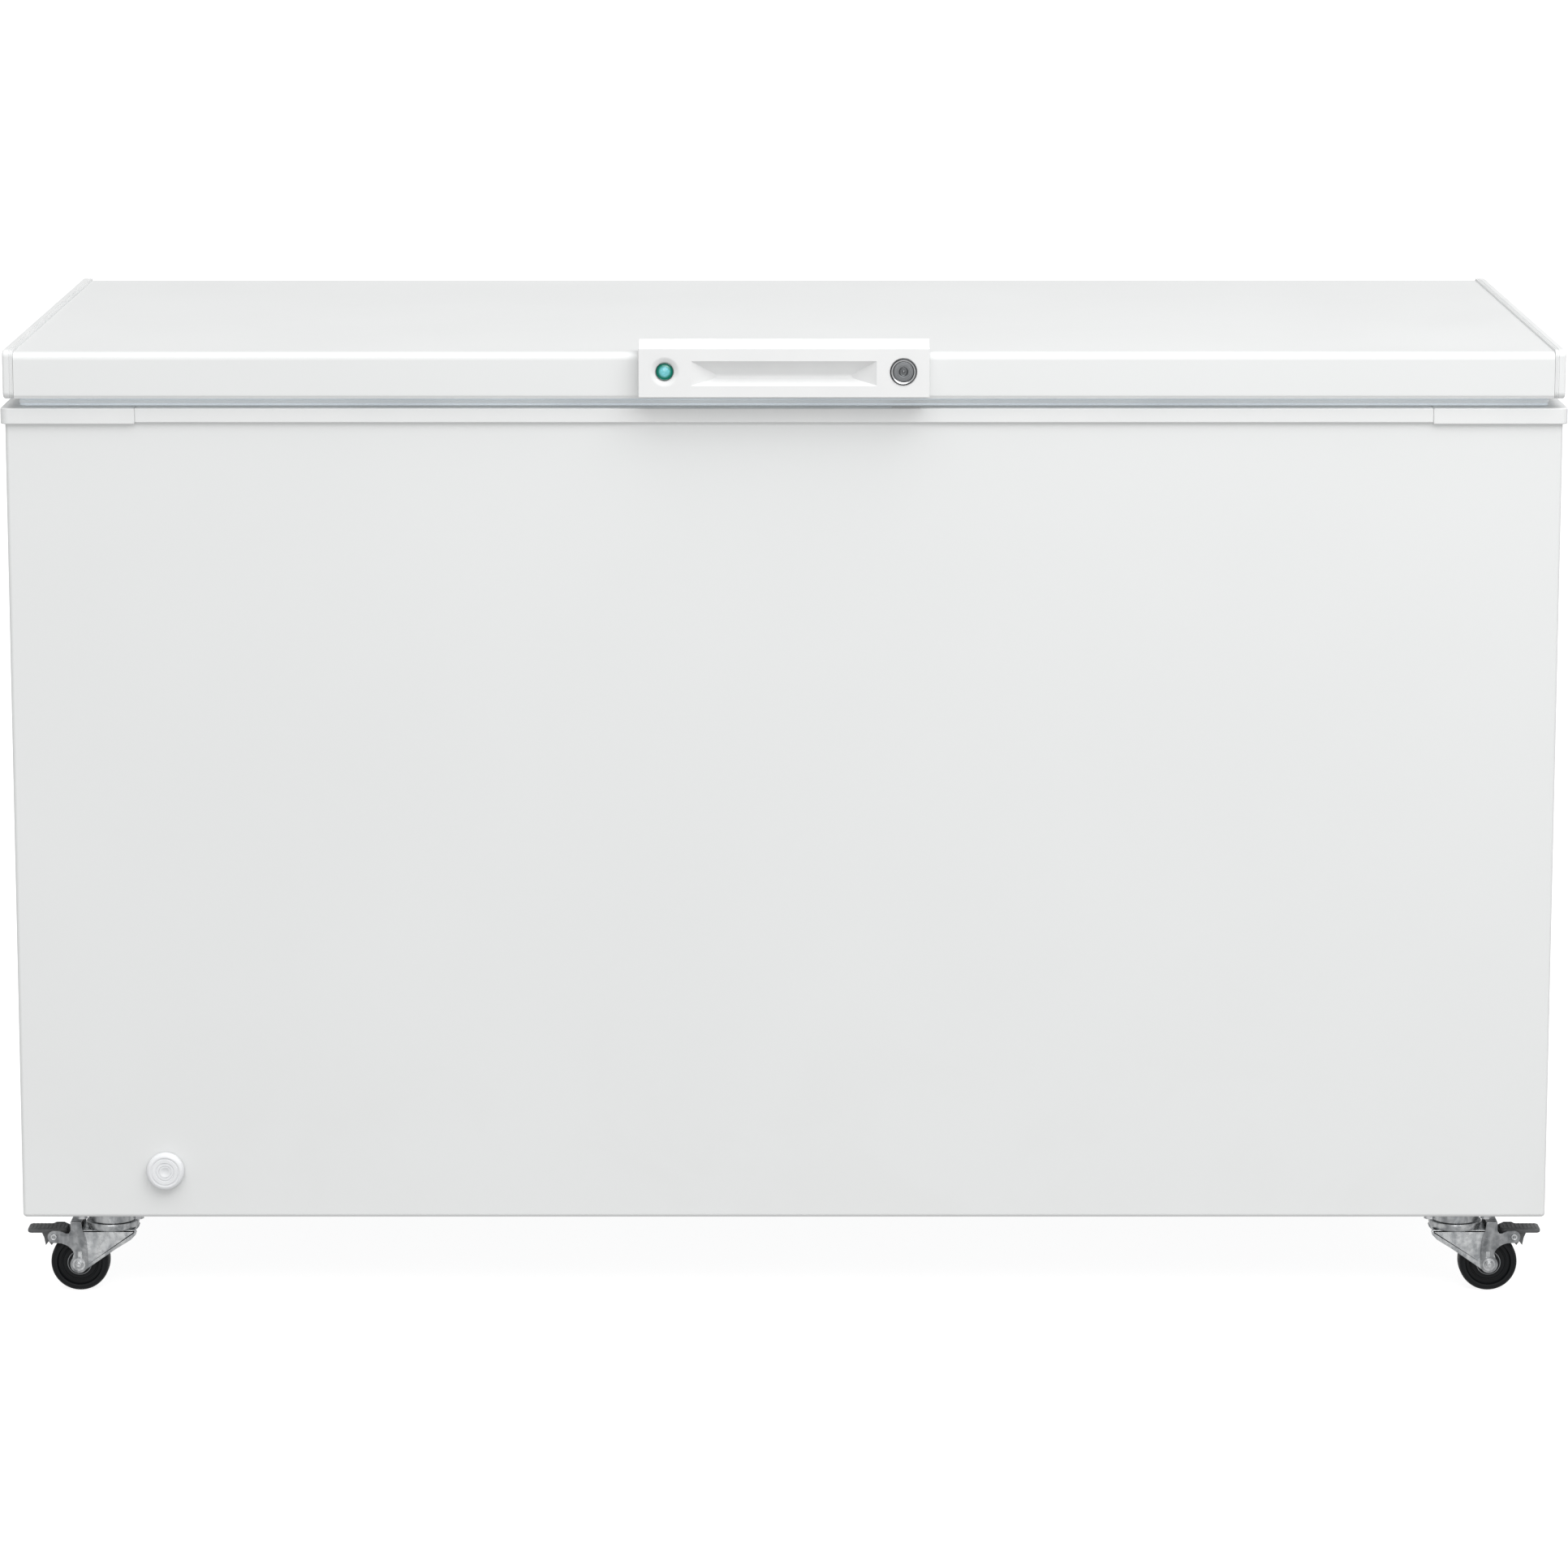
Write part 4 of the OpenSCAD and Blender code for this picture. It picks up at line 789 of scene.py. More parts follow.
# %% Gasket bellows
seal_low, seal_high = span("lid_gasket")
SEAL_R, SEAL_R_MIN = 9.0, 2.0
SEAL_SECTION = ((4.0, 10.7), (1.2, 10.2), (0.6, 9.2), (0.6, 7.7), (4.4, 7.1), (4.4, 6.5),
                (0.6, 6.0), (0.2, 4.6), (0.5, 2.5), (4.2, 1.8), (4.2, 1.2), (0.9, 0.9),
                (0.8, 0.3), (1.2, 0.0),
                (16.8, 0.0), (17.2, 0.4), (17.0, 2.2), (14.6, 2.8), (17.0, 4.4), (17.2, 7.0),
                (14.8, 8.4), (16.2, 9.6), (14.0, 10.7))
seal = loft([[(x, y, seal_low.z + up) for x, y in rounded(
    within(seal_low.x, seal_high.x, inset), within(seal_low.y, seal_high.y, inset),
    max(SEAL_R - inset, SEAL_R_MIN))] for inset, up in SEAL_SECTION], closed=True)
remade("lid_gasket", "gasket_bellows", seal, sharp=60)

# %% [markdown]
# ## Rim trim
# The plastic trim round the opening is the right shape already, so each length is only softened.
# The corner mouldings stand a hair prouder than their neighbours, which is why their joints show
# as fine lines.

# %% Trim, plates and brackets, softened
trim_nodes = [n for n in frame["nodes"] if n.startswith("trim_")]
for node in trim_nodes:
    softened(node, 1.1, 3)
eased_widths = {"hinge_brackets": 0.5, "hinge_leaves": 0.5, "vent_grille": 0.7,
                "thermostat_housing": 1.6, "start_relay": 1.5, "caster_plates": 0.4,
                "hinge_pins": 0.5}
for node, width in eased_widths.items():
    softened(node, width)
print("softened", len(trim_nodes) + len(eased_widths), "parts")

# %% [markdown]
# ## The pull handle
# One moulding holds the lamp, the finger recess and the lock. The block is its end outline swept
# along X, with softly rounded edges. The recess is a valley with slanted ends, so its cutter is
# four faces between a mouth and one deep line, and rounding the deep line makes the cove. The
# mouth flares by a millimetre so that no edge is sharp to the fingers. The lamp sits in a dish.

# %% Handle block
grip_low, grip_high = span("handle_body")
LAP, CHAMFER, TAIL_R, SOFT_EDGE = 7.5, 6.9, 5.0, 1.6
front, wall = grip_low.y, lid_low.y
side_view = [(front, grip_low.z), (wall, grip_low.z), (wall, lid_high.z),
             (wall + LAP, lid_high.z), (wall + LAP, grip_high.z - 1.0), (wall, grip_high.z),
             (front + 0.8, grip_high.z - CHAMFER), (front, grip_high.z - CHAMFER - 1.0)]
grip = outward(placed(plate(side_view, grip_low.x, grip_high.x), ALONG_X))
tail = [e for e in grip.edges if abs(e.verts[0].co.x - e.verts[1].co.x) < 1
        and all(v.co.y > wall + 5 for v in e.verts) and e.calc_length() > 8]
eased(grip, tail, TAIL_R, 5)
eased(grip, creases(grip, 12), SOFT_EDGE, 4)
print("handle", [round(v) for v in grip_high - grip_low])

# %% Recess, dish and bores
MOUTH_X, MOUTH_TOP, MOUTH_H, VALLEY, SLANT = 91.5, 7.0, 24.0, 16.0, 28.0
VALLEY_DROP, COVE_R, FLARE = 0.7, 5.0, 1.0
top_z = lid_high.z - MOUTH_TOP
low_z = top_z - MOUTH_H
valley_z = top_z - VALLEY_DROP * MOUTH_H
cutter = bmesh.new()
mouth = [cutter.verts.new((x, front, z)) for x, z in (
    (-MOUTH_X, low_z), (MOUTH_X, low_z), (MOUTH_X, top_z), (-MOUTH_X, top_z))]
deep = [cutter.verts.new((x, front + VALLEY, valley_z)) for x in (SLANT - MOUTH_X,
                                                                  MOUTH_X - SLANT)]
for corner in ((mouth[0], mouth[1], deep[1], deep[0]), (mouth[2], mouth[3], deep[0], deep[1]),
               (mouth[1], mouth[2], deep[1]), (mouth[3], mouth[0], deep[0])):
    cutter.faces.new(corner)
inner = [e for e in cutter.edges if e.is_manifold]
eased(cutter, [e for e in inner if all(v in deep for v in e.verts)], COVE_R, 6)
rim = [e for e in cutter.edges if e.is_boundary]
for vert in moved_verts(bmesh.ops.extrude_edge_only(cutter, edges=rim)):
    vert.co.y -= 1.2
    vert.co.x += math.copysign(FLARE, vert.co.x)
    vert.co.z += math.copysign(FLARE, vert.co.z - (top_z + low_z) / 2)
bmesh.ops.contextual_create(cutter, geom=[e for e in cutter.edges if e.is_boundary])
bmesh.ops.translate(cutter, vec=(0, 0.5, 0), verts=cutter.verts)
outward(cutter)

LENS_R, LOCK_R = 9.1, 13.25
dish = turned([(0, -2.5), (LENS_R, -2.5), (10.4, -1.9), (13.0, -0.7), (15.4, 0.02), (15.6, 2.0),
               (0, 2.0)], 64)
throat = turned([(0, -19.2), (LOCK_R, -19.2), (LOCK_R, -0.5), (14.0, 0.02), (14.1, 2), (0, 2)], 64)
bores = [facing(part, mid.x, front, mid.z) for part, mid in (
    (dish, light_mid), (drill(LENS_R, -7, 1, 64), light_mid), (throat, lock_mid))]
handle = remade("handle_body", "pull_handle", carved(grip, cutter, *bores), sharp=28)
print("handle faces:", len(handle.data.polygons))

# %% [markdown]
# ## Lamp and lock
# Both are turned shapes seen end on. The lamp is a collar and a shallow dome. The lock is a ring
# with a polished chamfer; inside it the core has a round keyway with a drive notch, and behind it
# the cam that catches the rim. The core turns, so core and cam are one piece on its own body.

# %% Lamp and lock
lamp = turned([(0, 0.9), (2.5, 0.8), (4.6, 0.4), (6.0, -0.1), (6.9, -0.8), (7.3, -1.2),
               (7.6, -0.4), (8.2, 0.0), (8.8, -0.3), (9.05, -1.2), (9.05, -5.9), (0, -5.9)], 64)
lamp = facing(lamp, light_mid.x, span("power_light")[0].y, light_mid.z)
remade("power_light", "lamp_lens", lamp, sharp=60)

lock_low, lock_high = span("lock_housing")
deep_y = lock_high.y - lock_low.y
ring = turned([(10.36, -deep_y), (10.36, -1.4), (10.6, -0.7), (12.0, -0.05), (12.4, 0.0),
               (12.8, -0.15), (13.15, -0.6), (13.2, -1.2), (13.2, -deep_y)], 72, closed=True)
remade("lock_housing", "lock_ring", facing(ring, lock_mid.x, lock_low.y, lock_mid.z), sharp=40)

core_low, core_high = span("lock_cylinder")
reach = core_high.y - core_low.y
core = turned([(0, -0.5), (1.0, -0.55), (1.5, -1.0), (1.7, -3.2), (2.9, -3.2), (3.1, -0.5),
               (3.5, -0.3), (3.9, -0.7), (4.2, -1.0), (4.6, -0.5), (5.0, -0.35), (9.4, -0.35),
               (9.9, -0.6), (10.28, -1.1), (10.28, -reach + 1), (0, -reach + 1)], 72)
notch = bar((-0.7, 0.7), (2.4, 5.4), (-2.2, 1.0))
core = facing(carved(core, notch), lock_mid.x, core_low.y, lock_mid.z)
cam = bar((lock_mid.x - 8, core_high.x), (core_high.y - 3, core_high.y), around(lock_mid.z, 8),
          1.0, 3)
remade("lock_cylinder", "lock_core_and_cam", joined(core, cam), sharp=40)
print("lock front at y", round(lock_low.y, 1), "core reaches", round(reach, 1))

# %% [markdown]
# ## Drain
# A push-in plug closes the outlet low on the front. Its face has moulded rings and a dimple for a
# thumb, all of it one turned profile with its stem. Inside, a rubber stopper with a pull tab
# closes the floor's hole.

# %% Drain plug and stopper
drain_low, drain_high = span("drain_plug")
plug_depth = drain_high.y - drain_low.y
plug = turned([(0, -0.9), (2.6, -0.8), (4.2, -0.3), (4.8, 0.0), (5.6, 0.0), (5.9, -0.7),
               (6.4, -0.7), (6.8, 0.0), (8.2, 0.0), (8.6, -0.8), (9.4, -0.8), (9.8, 0.0),
               (13.0, 0.0), (13.4, -0.8), (14.2, -0.8), (14.7, -0.1), (16.0, -0.2),
               (17.6, -0.8), (18.7, -2.0), (19.2, -3.8), (19.2, -7.6), (18.9, -8.0),
               (9.4, -8.0), (9.4, -plug_depth + 1.5), (8.4, -plug_depth), (0, -plug_depth)], 72)
remade("drain_plug", "drain_plug_ringed", facing(plug, drain_mid.x, drain_low.y, drain_mid.z),
       sharp=60)

bung_mid, bung_top = mid_of("drain_stopper"), span("drain_stopper")[1].z
TAB_H = 14.3
bung = turned([(0, 4.3), (13.0, 4.3), (14.4, 3.7), (15.0, 2.4), (15.0, 0.8), (14.4, 0.3),
               (9.4, 0.3), (9.4, -3.0), (9.0, -3.6), (9.4, -4.2), (9.4, -7.0), (9.0, -7.6),
               (9.4, -8.2), (9.2, -12.0), (8.2, -12.7), (0, -12.7)], 48)
bung = placed(bung, Matrix.Translation((bung_mid.x, bung_mid.y, bung_top - TAB_H)))
tab = bar(around(bung_mid.x, 10), around(bung_mid.y, 2), (bung_top - 11, bung_top), 1.6, 3)
remade("drain_stopper", "drain_stopper_ribbed", joined(bung, tab))
print("plug depth", round(plug_depth, 1))

# %% [markdown]
# ## Welded wire baskets
# Each basket is bent and welded from round wire under a vinyl coat. Thin U-shaped wires run both
# ways and make the sides and the floor, and heavier wires ring the rim, the waist and the foot.
# Hooks of doubled wire hang on the cabinet's rim. Curves with a round bevel are the natural way to
# draw wire: `bent` rounds each corner of a path as a wire bender does, and `rods` gives it body.

# %% Baskets
THIN, HEAVY, HOOK = 1.3, 2.3, 2.0
HOOK_LAP, HOOK_RISE, HOOK_HALF, HOOK_TAIL, HOOK_COUNT = 14.0, 24.3, 5, 22, 3
PITCH_X, PITCH_Y, WAIST = 23, 25, 0.55


def rectangle(low, high, z, inset, r=9.0):
    (x0, x1), (y0, y1) = within(low.x, high.x, inset), within(low.y, high.y, inset)
    return bent([(x0, y0, z), (x1, y0, z), (x1, y1, z), (x0, y1, z)], r, cyclic=True)


def u_shape(a, b, foot, top):
    return [(a, top), (a, foot), (b, foot), (b, top)]


def evenly(a, b, pitch):
    count = max(2, round((b - a) / pitch))
    return [a + (b - a) * i / count for i in range(count + 1)]


for node in ("basket_left", "basket_right"):
    low, high = span(node)
    low.y, high.y = within(low.y, high.y, HOOK_LAP)
    rim_top = high.z - HOOK_RISE
    hook_z = high.z - HOOK
    rings = [rectangle(low, high, rim_top - HEAVY, HEAVY),
             rectangle(low, high, low.z + WAIST * (rim_top - low.z), HEAVY + THIN * 2),
             rectangle(low, high, low.z + HEAVY, HEAVY + THIN * 2)]
    thin = []
    for x in evenly(*within(low.x, high.x, 14), PITCH_X):
        across = u_shape(*within(low.y, high.y, THIN), low.z + THIN, rim_top - 3)
        thin.append(bent([(x, y, z) for y, z in across], 7))
    for y in evenly(*within(low.y, high.y, 16), PITCH_Y):
        along = u_shape(*within(low.x, high.x, THIN), low.z + 3 * THIN, rim_top - 3)
        thin.append(bent([(x, y, z) for x, z in along], 7))
    hooks = []
    for i in range(HOOK_COUNT):
        x = low.x + (i + 0.5) * (high.x - low.x) / HOOK_COUNT
        for y, out in ((low.y + HEAVY, low.y - HOOK_LAP + HOOK),
                       (high.y - HEAVY, high.y + HOOK_LAP - HOOK)):
            half = [(y, rim_top - HOOK_TAIL), (y, hook_z), (out, hook_z)]
            hooks.append(bent([(x - HOOK_HALF, *p) for p in half]
                              + [(x + HOOK_HALF, *p) for p in reversed(half)], 3))
    wires = joined(rods(rings, HEAVY, 2), rods(thin, THIN, 1), rods(hooks, HOOK, 2))
    piece = remade(node, "wire_" + node, wires, sharp=60)
    print(node, "has", len(thin), "thin wires and", len(piece.data.polygons), "faces")

# %% [markdown]
# ## Casters
# A caster has four moving levels: the plate bolted to the cabinet, the fork that swivels under it,
# the wheel on its axle, and on the front pair a foot brake. Every caster is drawn once, in its own
# frame, with the swivel's axis at the origin and the wheel trailing towards -X. The right-hand
# ones are mirrored. A mirror turns faces inside out, so `placed` turns them back.

# %% Caster shapes
TRAIL, AXLE_Z, LEG_Y, LEG_T, BOSS = -34.0, 30.0, 14.5, 2.5, 9.0
LEG_OUT = LEG_Y + LEG_T
BRACKET_T = 2.0
CHEEK_OUT = LEG_OUT + BRACKET_T
PIN_X, PIN_Z, EAR = -59.4, 59.0, 6.3
KINGPIN_R, PIN_R, HALF_WHEEL = 6.1, 3.05, 12.5


def hexagon(r, h, middle, edge):
    head = bmesh.new()
    bmesh.ops.create_cone(head, cap_ends=True, segments=6, radius1=r, radius2=r, depth=h,
                          matrix=Matrix.Translation((0, 0, middle)))
    return eased(head, creases(head, 80), edge, 2)


def on_axle(part):
    return facing(part, TRAIL, 0, AXLE_Z)


def on_pin(part):
    return facing(part, PIN_X, 0, PIN_Z)


def fork_shape():
    outline = ([(-31.0, 65.9), (24.0, 65.9), (26.0, 64.6), (24.6, 60.8), (19.6, 55.5),
                (4.0, 45.7)] + arc(TRAIL, AXLE_Z, BOSS, -48, -180, 12))
    legs = []
    for side in (-1, 1):
        near, far = sorted((side * LEG_Y, side * LEG_OUT))
        leg = plate(outline, near, far)
        leg.faces.ensure_lookup_table()
        face = max(leg.faces, key=lambda f: side * f.calc_center_median().y + f.calc_area())
        bmesh.ops.inset_region(leg, faces=[face], thickness=3.2, depth=0.0,
                               use_even_offset=True)
        legs.append(eased(leg, creases(leg), 0.6, 2))
    crown = bar((-31, 24), (-LEG_OUT, LEG_OUT), (63, 66), 0.8)
    cup = turned([(KINGPIN_R, 65.0), (21.0, 65.2), (24.2, 66.0), (26.2, 68.2), (26.9, 71.0),
                  (27.0, 73.0), (26.5, 73.9), (25.6, 73.9), (25.0, 72.6), (23.6, 71.4),
                  (KINGPIN_R, 71.2)], 64, closed=True)
    spine = turned([(KINGPIN_R, 63.2), (12, 63.0), (13.5, 64.5), (KINGPIN_R, 65.2)], 40,
                   closed=True)
    return joined(*legs, crown, cup, spine)


def wheel_shape():
    """Each point is a radius and how far it lies inside the wheel's side."""
    half = [(4.1, -0.4), (11.6, -0.4), (12.5, 0.1), (12.7, 2.4), (14.2, 3.3), (17.0, 3.2),
            (17.6, 2.5), (18.4, 2.5), (19.0, 3.9), (22.4, 4.1), (23.0, 3.0), (23.4, 0.2),
            (24.4, 0.05), (26.0, 0.1), (27.6, 0.9), (28.9, 2.2), (29.7, 4.4), (30.0, 7.5)]
    profile = [(r, HALF_WHEEL - inside) for r, inside in half]
    profile += [(r, inside - HALF_WHEEL) for r, inside in reversed(half)]
    return on_axle(turned(profile, 72, closed=True))


def axle_shape(braked):
    clamp = CHEEK_OUT if braked else LEG_OUT
    tip = [(0, 3.2), (1.2, 3.2), (2.2, 3.4), (2.9, 3.1), (3.1, 1.9), (3.7, 1.9), (4.2, 1.5),
           (4.5, 0.9), (4.6, 0.3), (6.6, 0.3), (6.8, 0), (3.95, 0)]
    head = [(3.95, 0), (6.8, 0), (6.8, 0.3), (0, 0.3)]
    bolt = turned([(r, clamp + out) for r, out in tip] + [(r, -clamp - out) for r, out in head],
                  40)
    return on_axle(joined(bolt, hexagon(7, 5, -clamp - 2.6, 0.6)))


print("caster shapes ready")

# %% [markdown]
# ## Foot brake
# Two stamped cheeks hang on the axle outside the fork and are joined by a folded tab. Each has an
# ear for the pedal's pin, a curve that clears the tyre and a small window. The pedal is moulded:
# a ribbed bar on a sleeve, with a web beneath that ends in the two teeth that bite the tread.


# %% Brake shapes
def bracket_shape():
    outline = ([(-42.0, 66.0), (-42.0, 74.8), (-31.0, 74.8), (-29.6, 66.0), (-26.2, 55.5),
                (-25.0, 44.0), (-25.0, 30.0)] + arc(TRAIL, AXLE_Z, BOSS, -10, -239, 22)
               + [(-38.8, 40.5), (-39.8, 43.8), (-41.8, 46.8), (-44.8, 49.4), (-48.4, 51.3),
                  (-52.0, 52.4), (-56.0, 52.7)] + arc(PIN_X, PIN_Z, EAR, 265, 95, 16)
               + [(-52.5, 65.2), (-46.5, 62.4), (-44.0, 62.6)])
    cheeks = []
    for side in (-1, 1):
        near, far = sorted((side * LEG_OUT, side * CHEEK_OUT))
        window = bar((-35.4, -30.8), (near - 1, far + 1), (36.4, 43.6))
        cheeks.append(carved(plate(outline, near + 0.02, far), window))
    tab = bar((-42, -31), (-CHEEK_OUT, CHEEK_OUT), (72.6, 74.9), 0.7)
    near_end = [(1.5, 0.2), (1.7, 1.2), (2.4, 1.45), (3.1, 1.3), (3.5, 0.5), (3.5, 0),
                (2.95, -0.1)]
    far_end = [(2.95, 0), (3.5, 0), (3.3, 1.2), (1.5, 1.2)]
    rivet = turned([(r, CHEEK_OUT + out) for r, out in near_end]
                   + [(r, -CHEEK_OUT - out) for r, out in far_end], 32, closed=True)
    return joined(*cheeks, tab), on_pin(rivet)


def pedal_shape():
    tread = placed(plate(rounded((-87.2, -46.6), (-11.9, 11.9), 4.5), 61.2, 66.0, 1.9, 4),
                   LAID_FLAT)
    ribs = [bar((x - 0.8, x + 0.8), (-9.5, 9.5), (65.4, 66.45), 0.4) for x in range(-83, -50, 4)]
    nub = bar((-49.0, -46.4), (-6, 6), (63.4, 66.2), 0.8)
    sleeve = on_pin(turned([(PIN_R, 16.5), (4.4, 16.5), (5.0, 15.8), (5.0, -15.8), (4.4, -16.5),
                            (PIN_R, -16.5)], 40, closed=True))
    web = plate([(-74.0, 63.5), (-70.6, 55.6), (-69.0, 47.5), (-66.0, 51.5), (-63.0, 47.5),
                 (-58.6, 53.2), (-56.4, 58.0), (-55.4, 63.5)], -7.8, 7.8)
    return joined(tread, *ribs, nub, sleeve, carved(web, on_pin(drill(3.1, -9, 9, 32))))


AXIS_X = 691.0
for end in ("front", "back"):
    for side, sign in (("left", 1), ("right", -1)):
        where = end + "_" + side
        axis_y = mid_of("fork_" + where).y
        stand = Matrix.Translation((-sign * AXIS_X, axis_y, 0)) @ Matrix.Diagonal((sign, 1, 1, 1))
        braked = end == "front"
        shapes = {"fork_" + where: fork_shape(), "axle_" + where: axle_shape(braked),
                  "wheel_" + where: wheel_shape()}
        looks = {"wheel_" + where: finishes["wheel_" + where],
                 "brake_bracket_" + side: finishes["darker_zinc"]}
        if braked:
            shapes["brake_bracket_" + side], rivet = bracket_shape()
            finished("brake_rivet_" + side, placed(rivet, stand),
                     body_with("brake_bracket_" + side), "bolt", sharp=35)
            shapes["brake_pedal_" + side] = pedal_shape()
        for node, shape in shapes.items():
            remade(node, node + "_finished", placed(shape, stand), sharp=35, look=looks.get(node))
        print("caster", where, "swivels at", round(-sign * AXIS_X), round(axis_y, 1))

# %% [markdown]
# ## Hinge springs and screws
# The lid's weight is carried by springs wound round each hinge pin. A helix is a path like any
# other wire: a full turn for each coil, then straight legs that press on the bracket. Hex-headed
# screws fix every bracket to the cabinet.

# %% Springs and screws
pin_y, pin_z = mid_of("hinge_pins").yz
HINGES = (-520, 520)
BRACKET_FACE = 350.1
COIL_R, WIRE_R, TURNS, TURN_POINTS = 5.5, 0.95, 8, 14
COIL_NEAR, COIL_FAR = 8.6 + WIRE_R, 26.3 - WIRE_R
LEG_STOPS = ((pin_y - COIL_R, -8), (BRACKET_FACE + 1.2, -27), (BRACKET_FACE + 1.2, -38))


def spring(hinge, side):
    coil = []
    for i in range(TURNS * TURN_POINTS + 1):
        angle = math.pi + math.tau * i / TURN_POINTS
        out = COIL_NEAR + (COIL_FAR - COIL_NEAR) * i / (TURNS * TURN_POINTS)
        coil.append((hinge + side * out, pin_y + COIL_R * math.cos(angle),
                     pin_z + COIL_R * math.sin(angle)))
    return coil + [(coil[-1][0], y, pin_z + dz) for y, dz in LEG_STOPS], False


springs = [spring(hinge, side) for hinge in HINGES for side in (-1, 1)]
remade("hinge_springs", "wound_springs", rods(springs, WIRE_R, 2), sharp=60)


def screw(r=4.2, h=2.6):
    washer = turned([(0, 0.7), (r + 1.2, 0.6), (r + 1.6, 0.3), (r + 1.6, -0.5), (0, -0.5)], 32)
    return joined(hexagon(r, h, h / 2 + 0.6, 0.5), washer)


TO_BACK = Matrix.Rotation(-math.pi / 2, 4, "X")
screws = [placed(screw(), Matrix.Translation((hinge + dx, BRACKET_FACE, z)) @ TO_BACK)
          for hinge in HINGES for dx in (-16, 16) for z in (850, 885)]
finished("hinge_screws", joined(*screws), "cabinet", "bolt", sharp=40)
print("coils", len(springs), "screws", len(screws))

# %% [markdown]
# ## In the compressor bay
# Behind the service opening sits the compressor: a black welded pot on rubber feet. Its pipes are
# copper, bent on a roller, so their corners are smooth curves. The pot is turned, with the seam
# where its halves are welded, and wears a terminal cover and a mounting foot.

# %% Pot and pipes
pot_x, pot_y, pipe_z = mid_of("compressor").x, 210.1, 211.5
FOOT_Z, FOOT_TOP, SHELL_R, CURVE = 104.1, 107.0, 78.0, 34
shell = [(0, 0.0), (44, 0.0)] + arc(44, CURVE, CURVE, -80, 0, 8)
shell += [(SHELL_R, 84.5), (78.6, 85.0), (81.6, 85.5), (82, 86.2), (82, 88.6), (81.4, 89.4),
          (78.6, 89.8), (77.6, 90.6)] + arc(43.6, 156, CURVE, 0, 90, 10)
shell += [(20, 190.0), (17.0, 188.6), (0, 188.2)]
pot = placed(turned(shell, 72), Matrix.Translation((pot_x, pot_y, FOOT_TOP)))
foot = bar(around(pot_x, 105), around(pot_y, 50), (FOOT_Z, FOOT_TOP), 1.2, 2)
holes = [placed(drill(6.0, 90, 120, 24),
                Matrix.Translation((pot_x + sx * 89, pot_y + sy * 34, 0)))
         for sx in (-1, 1) for sy in (-1, 1)]
block = bar(around(pot_x, 22), (128.2, 152.1), (157.0, 189.0), 2.5, 3)
stubs = [placed(turned([(0, 0), (7, 0), (7, 14), (5.4, 16), (0, 16)], 32),
                Matrix.Translation((pot_x + s * 68, pot_y, pipe_z))
                @ Matrix.Rotation(s * math.pi / 2, 4, "Y")) for s in (-1, 1)]
remade("compressor", "compressor_pot", joined(pot, carved(foot, *holes), block, *stubs), sharp=38)

PIPE_R, BEND, STUB = 3.95, 16.0, SHELL_R + 4
suction_x, discharge_x = 544, 755
suction = [(pot_x - STUB, pot_y, pipe_z), (suction_x, pot_y, pipe_z),
           (suction_x, 90.1, pipe_z + 20), (suction_x, 90.1, 340), (suction_x, -19.9, 340)]
discharge = [(pot_x + STUB, pot_y, pipe_z), (discharge_x, pot_y, pipe_z),
             (discharge_x, 150.1, pipe_z + 20), (discharge_x, 150.1, 370)]
pipes = rods([bent(suction, BEND, 8), bent(discharge, BEND, 8)], PIPE_R, 4)
remade("refrigerant_pipes", "bent_pipes", pipes, sharp=60)
print("pot's middle is at", round(pot_x, 1), "and", pot_y)

# %% [markdown]
# ## Thermostat knob
# The knob is a turned disc with a finger grip moulded across its face. The grip is straight with
# rounded sides, and one end carries a pale pointer. Round it on the housing are plain tick marks,
# longer at each end of the scale.

# %% Knob and scale
knob_low, knob_mid = span("thermostat_knob")[0], mid_of("thermostat_knob")
house_face = span("thermostat_housing")[0].x
KNOB_T, FLUTES, MARKS = 15.0, 30, 11
SCALE_START, SCALE_STEP = -45, 27
TO_LEFT = Matrix.Rotation(-math.pi / 2, 4, "Y")
disc = turned([(0, 5.5), (15, 5.5), (18.6, 5.2), (20.4, 4.4), (21.4, 3.0), (21.9, 0.4),
               (21.9, 0.0), (5.0, 0.0), (5.0, -9.8), (0, -9.8)], 64)
flutes = [placed(bar((20.6, 22.0), (-1.0, 1.0), (0.4, 3.2), 0.4),
                 Matrix.Rotation(math.tau * i / FLUTES, 4, "Z")) for i in range(FLUTES)]
bridge = bar((-19.0, 19.0), (-4.6, 4.6), (4.0, KNOB_T), 1.8, 4)
pointer = bar((9.0, 18.0), (-0.7, 0.7), (14.4, KNOB_T), 0.2)
knob_at = Matrix.Translation((knob_low.x + KNOB_T, knob_mid.y, knob_mid.z)) @ TO_LEFT
remade("thermostat_knob", "thermostat_knob_gripped",
       placed(joined(disc, *flutes, bridge), knob_at), sharp=40)
finished("knob_pointer", placed(pointer, knob_at), "thermostat", "control", sharp=40)
ticks = []
for i in range(MARKS):
    angle = math.radians(SCALE_START + SCALE_STEP * i)
    length = 6.0 if i in (0, MARKS - 1) else 3.6
    mark = bar((24.5, 24.5 + length), (-0.5, 0.5), (-0.3, 0.25))
    ticks.append(placed(mark, Matrix.Translation((house_face, knob_mid.y, knob_mid.z))
                        @ TO_LEFT @ Matrix.Rotation(angle, 4, "Z")))
finished("thermostat_scale", joined(*ticks), "cabinet", "knob", sharp=40)

# %% [markdown]
# ## Light and floor
# White goods are shown white on white. A large pale floor glows a little, so that shadows on it
# stay faint, but it sends no light back up: that keeps the undersides grey. The world gives an
# even soft light, and the camera sees it as a white wall behind the floor. One broad light comes
# from high in front, weak ones from level in front and from behind, and a wide lamp above and to
# the right lights the lid's front.

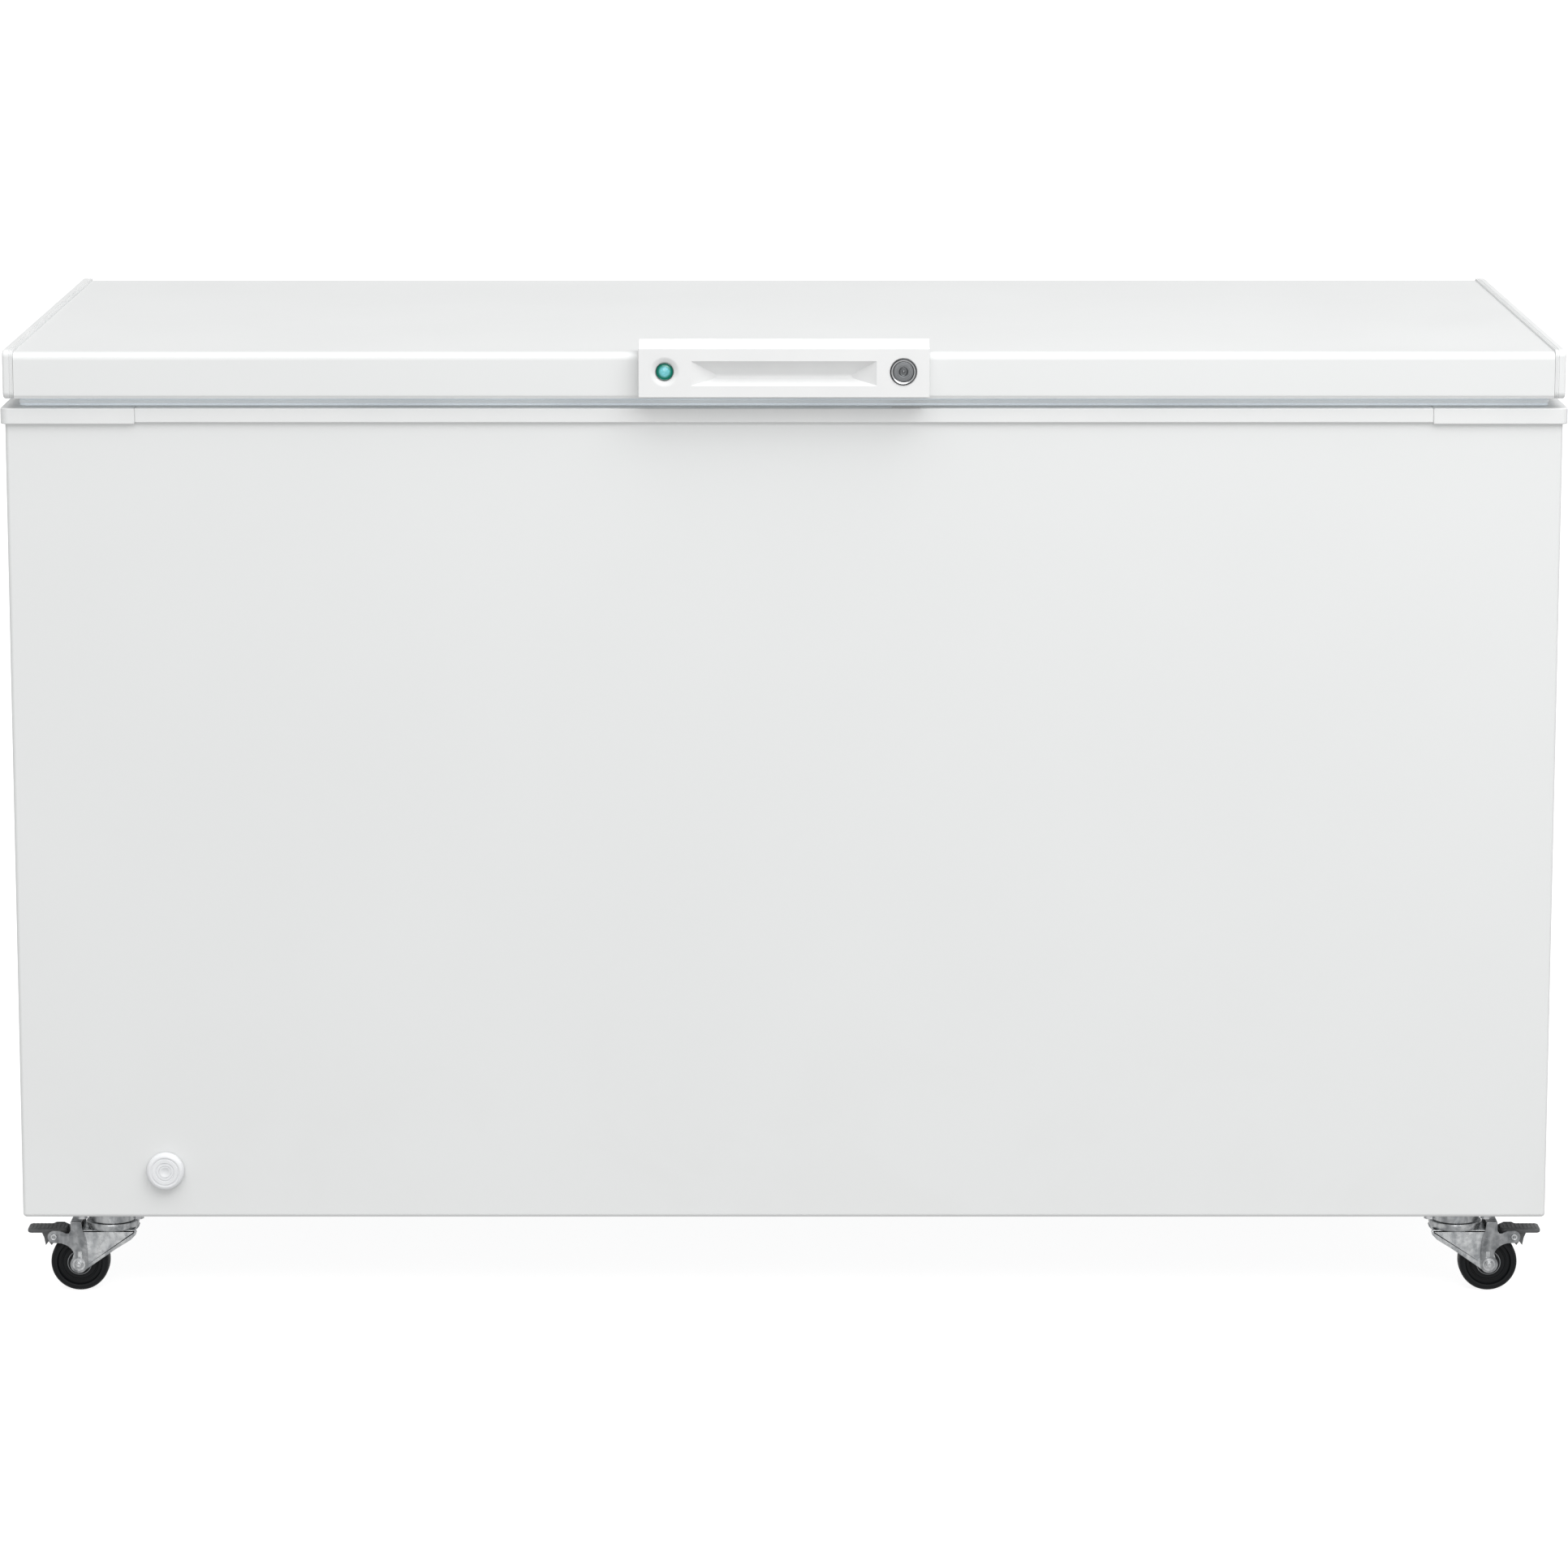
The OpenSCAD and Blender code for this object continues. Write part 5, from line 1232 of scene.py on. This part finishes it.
# %% Studio
floor_mesh = bmesh.new()
bmesh.ops.create_grid(floor_mesh, x_segments=1, y_segments=1, size=30)
floor_data = mesh_from(floor_mesh, "floor")
floor = linked("studio_floor", floor_data)
floor_paint = bpy.data.materials.new("floor_paint")
floor_paint.use_nodes = True
floor_shader = floor_paint.node_tree.nodes["Principled BSDF"]
for socket, value in (("Base Color", rgb(0.3, 0.3, 0.3)), ("Roughness", 0.9),
                      ("Specular IOR Level", 0.1), ("Emission Color", rgb(1.0, 1.0, 1.0)),
                      ("Emission Strength", 0.88)):
    floor_shader.inputs[socket].default_value = value
floor_data.materials.append(floor_paint)
floor.visible_diffuse = floor.visible_glossy = floor.visible_shadow = False

world = bpy.data.worlds.new("soft_room")
world.use_nodes = True
room = world.node_tree
soft_light = room.nodes["Background"]
white_wall = room.nodes.new("ShaderNodeBackground")
for backdrop, strength in ((soft_light, 0.56), (white_wall, 1.0)):
    backdrop.inputs["Color"].default_value = rgb(1.0, 1.0, 1.0)
    backdrop.inputs["Strength"].default_value = strength
ray, chooser = (room.nodes.new("ShaderNode" + kind) for kind in ("LightPath", "MixShader"))
room.links.new(ray.outputs["Is Camera Ray"], chooser.inputs[0])
room.links.new(soft_light.outputs[0], chooser.inputs[1])
room.links.new(white_wall.outputs[0], chooser.inputs[2])
room.links.new(chooser.outputs[0], room.nodes["World Output"].inputs["Surface"])
bpy.context.scene.world = world
bpy.context.scene.view_settings.view_transform = "Standard"


def hung(name, data, turn):
    light = linked(name, data)
    light.rotation_euler = turn
    return light


def soft_lamp(name, place, target, size, watts):
    data = bpy.data.lights.new(name, "AREA")
    data.shape, data.size, data.energy = "SQUARE", size, watts
    aim = (Vector(target) - Vector(place)).to_track_quat("-Z", "Y")
    lamp_light = hung(name, data, aim.to_euler())
    lamp_light.location, lamp_light.visible_camera = place, False


def broad_light(name, strength, angle, turn):
    data = bpy.data.lights.new(name, "SUN")
    data.energy, data.angle = strength, angle
    return hung(name, data, turn)


broad_light("high_front", 1.85, 1.1, (0.47, 0.12, 0))
broad_light("front_fill", 0.38, 0.5, (math.pi / 2 - 0.14, 0, 0))
rear_fill = broad_light("rear_fill", 0.6, 0.9, (0.35 - math.pi / 2, 0, -0.45))
rear_fill.visible_glossy = False
soft_lamp("key", (1.0, -1.7, 2.4), (0, -0.3, 0.9), 1.6, 15)
print("studio lit")
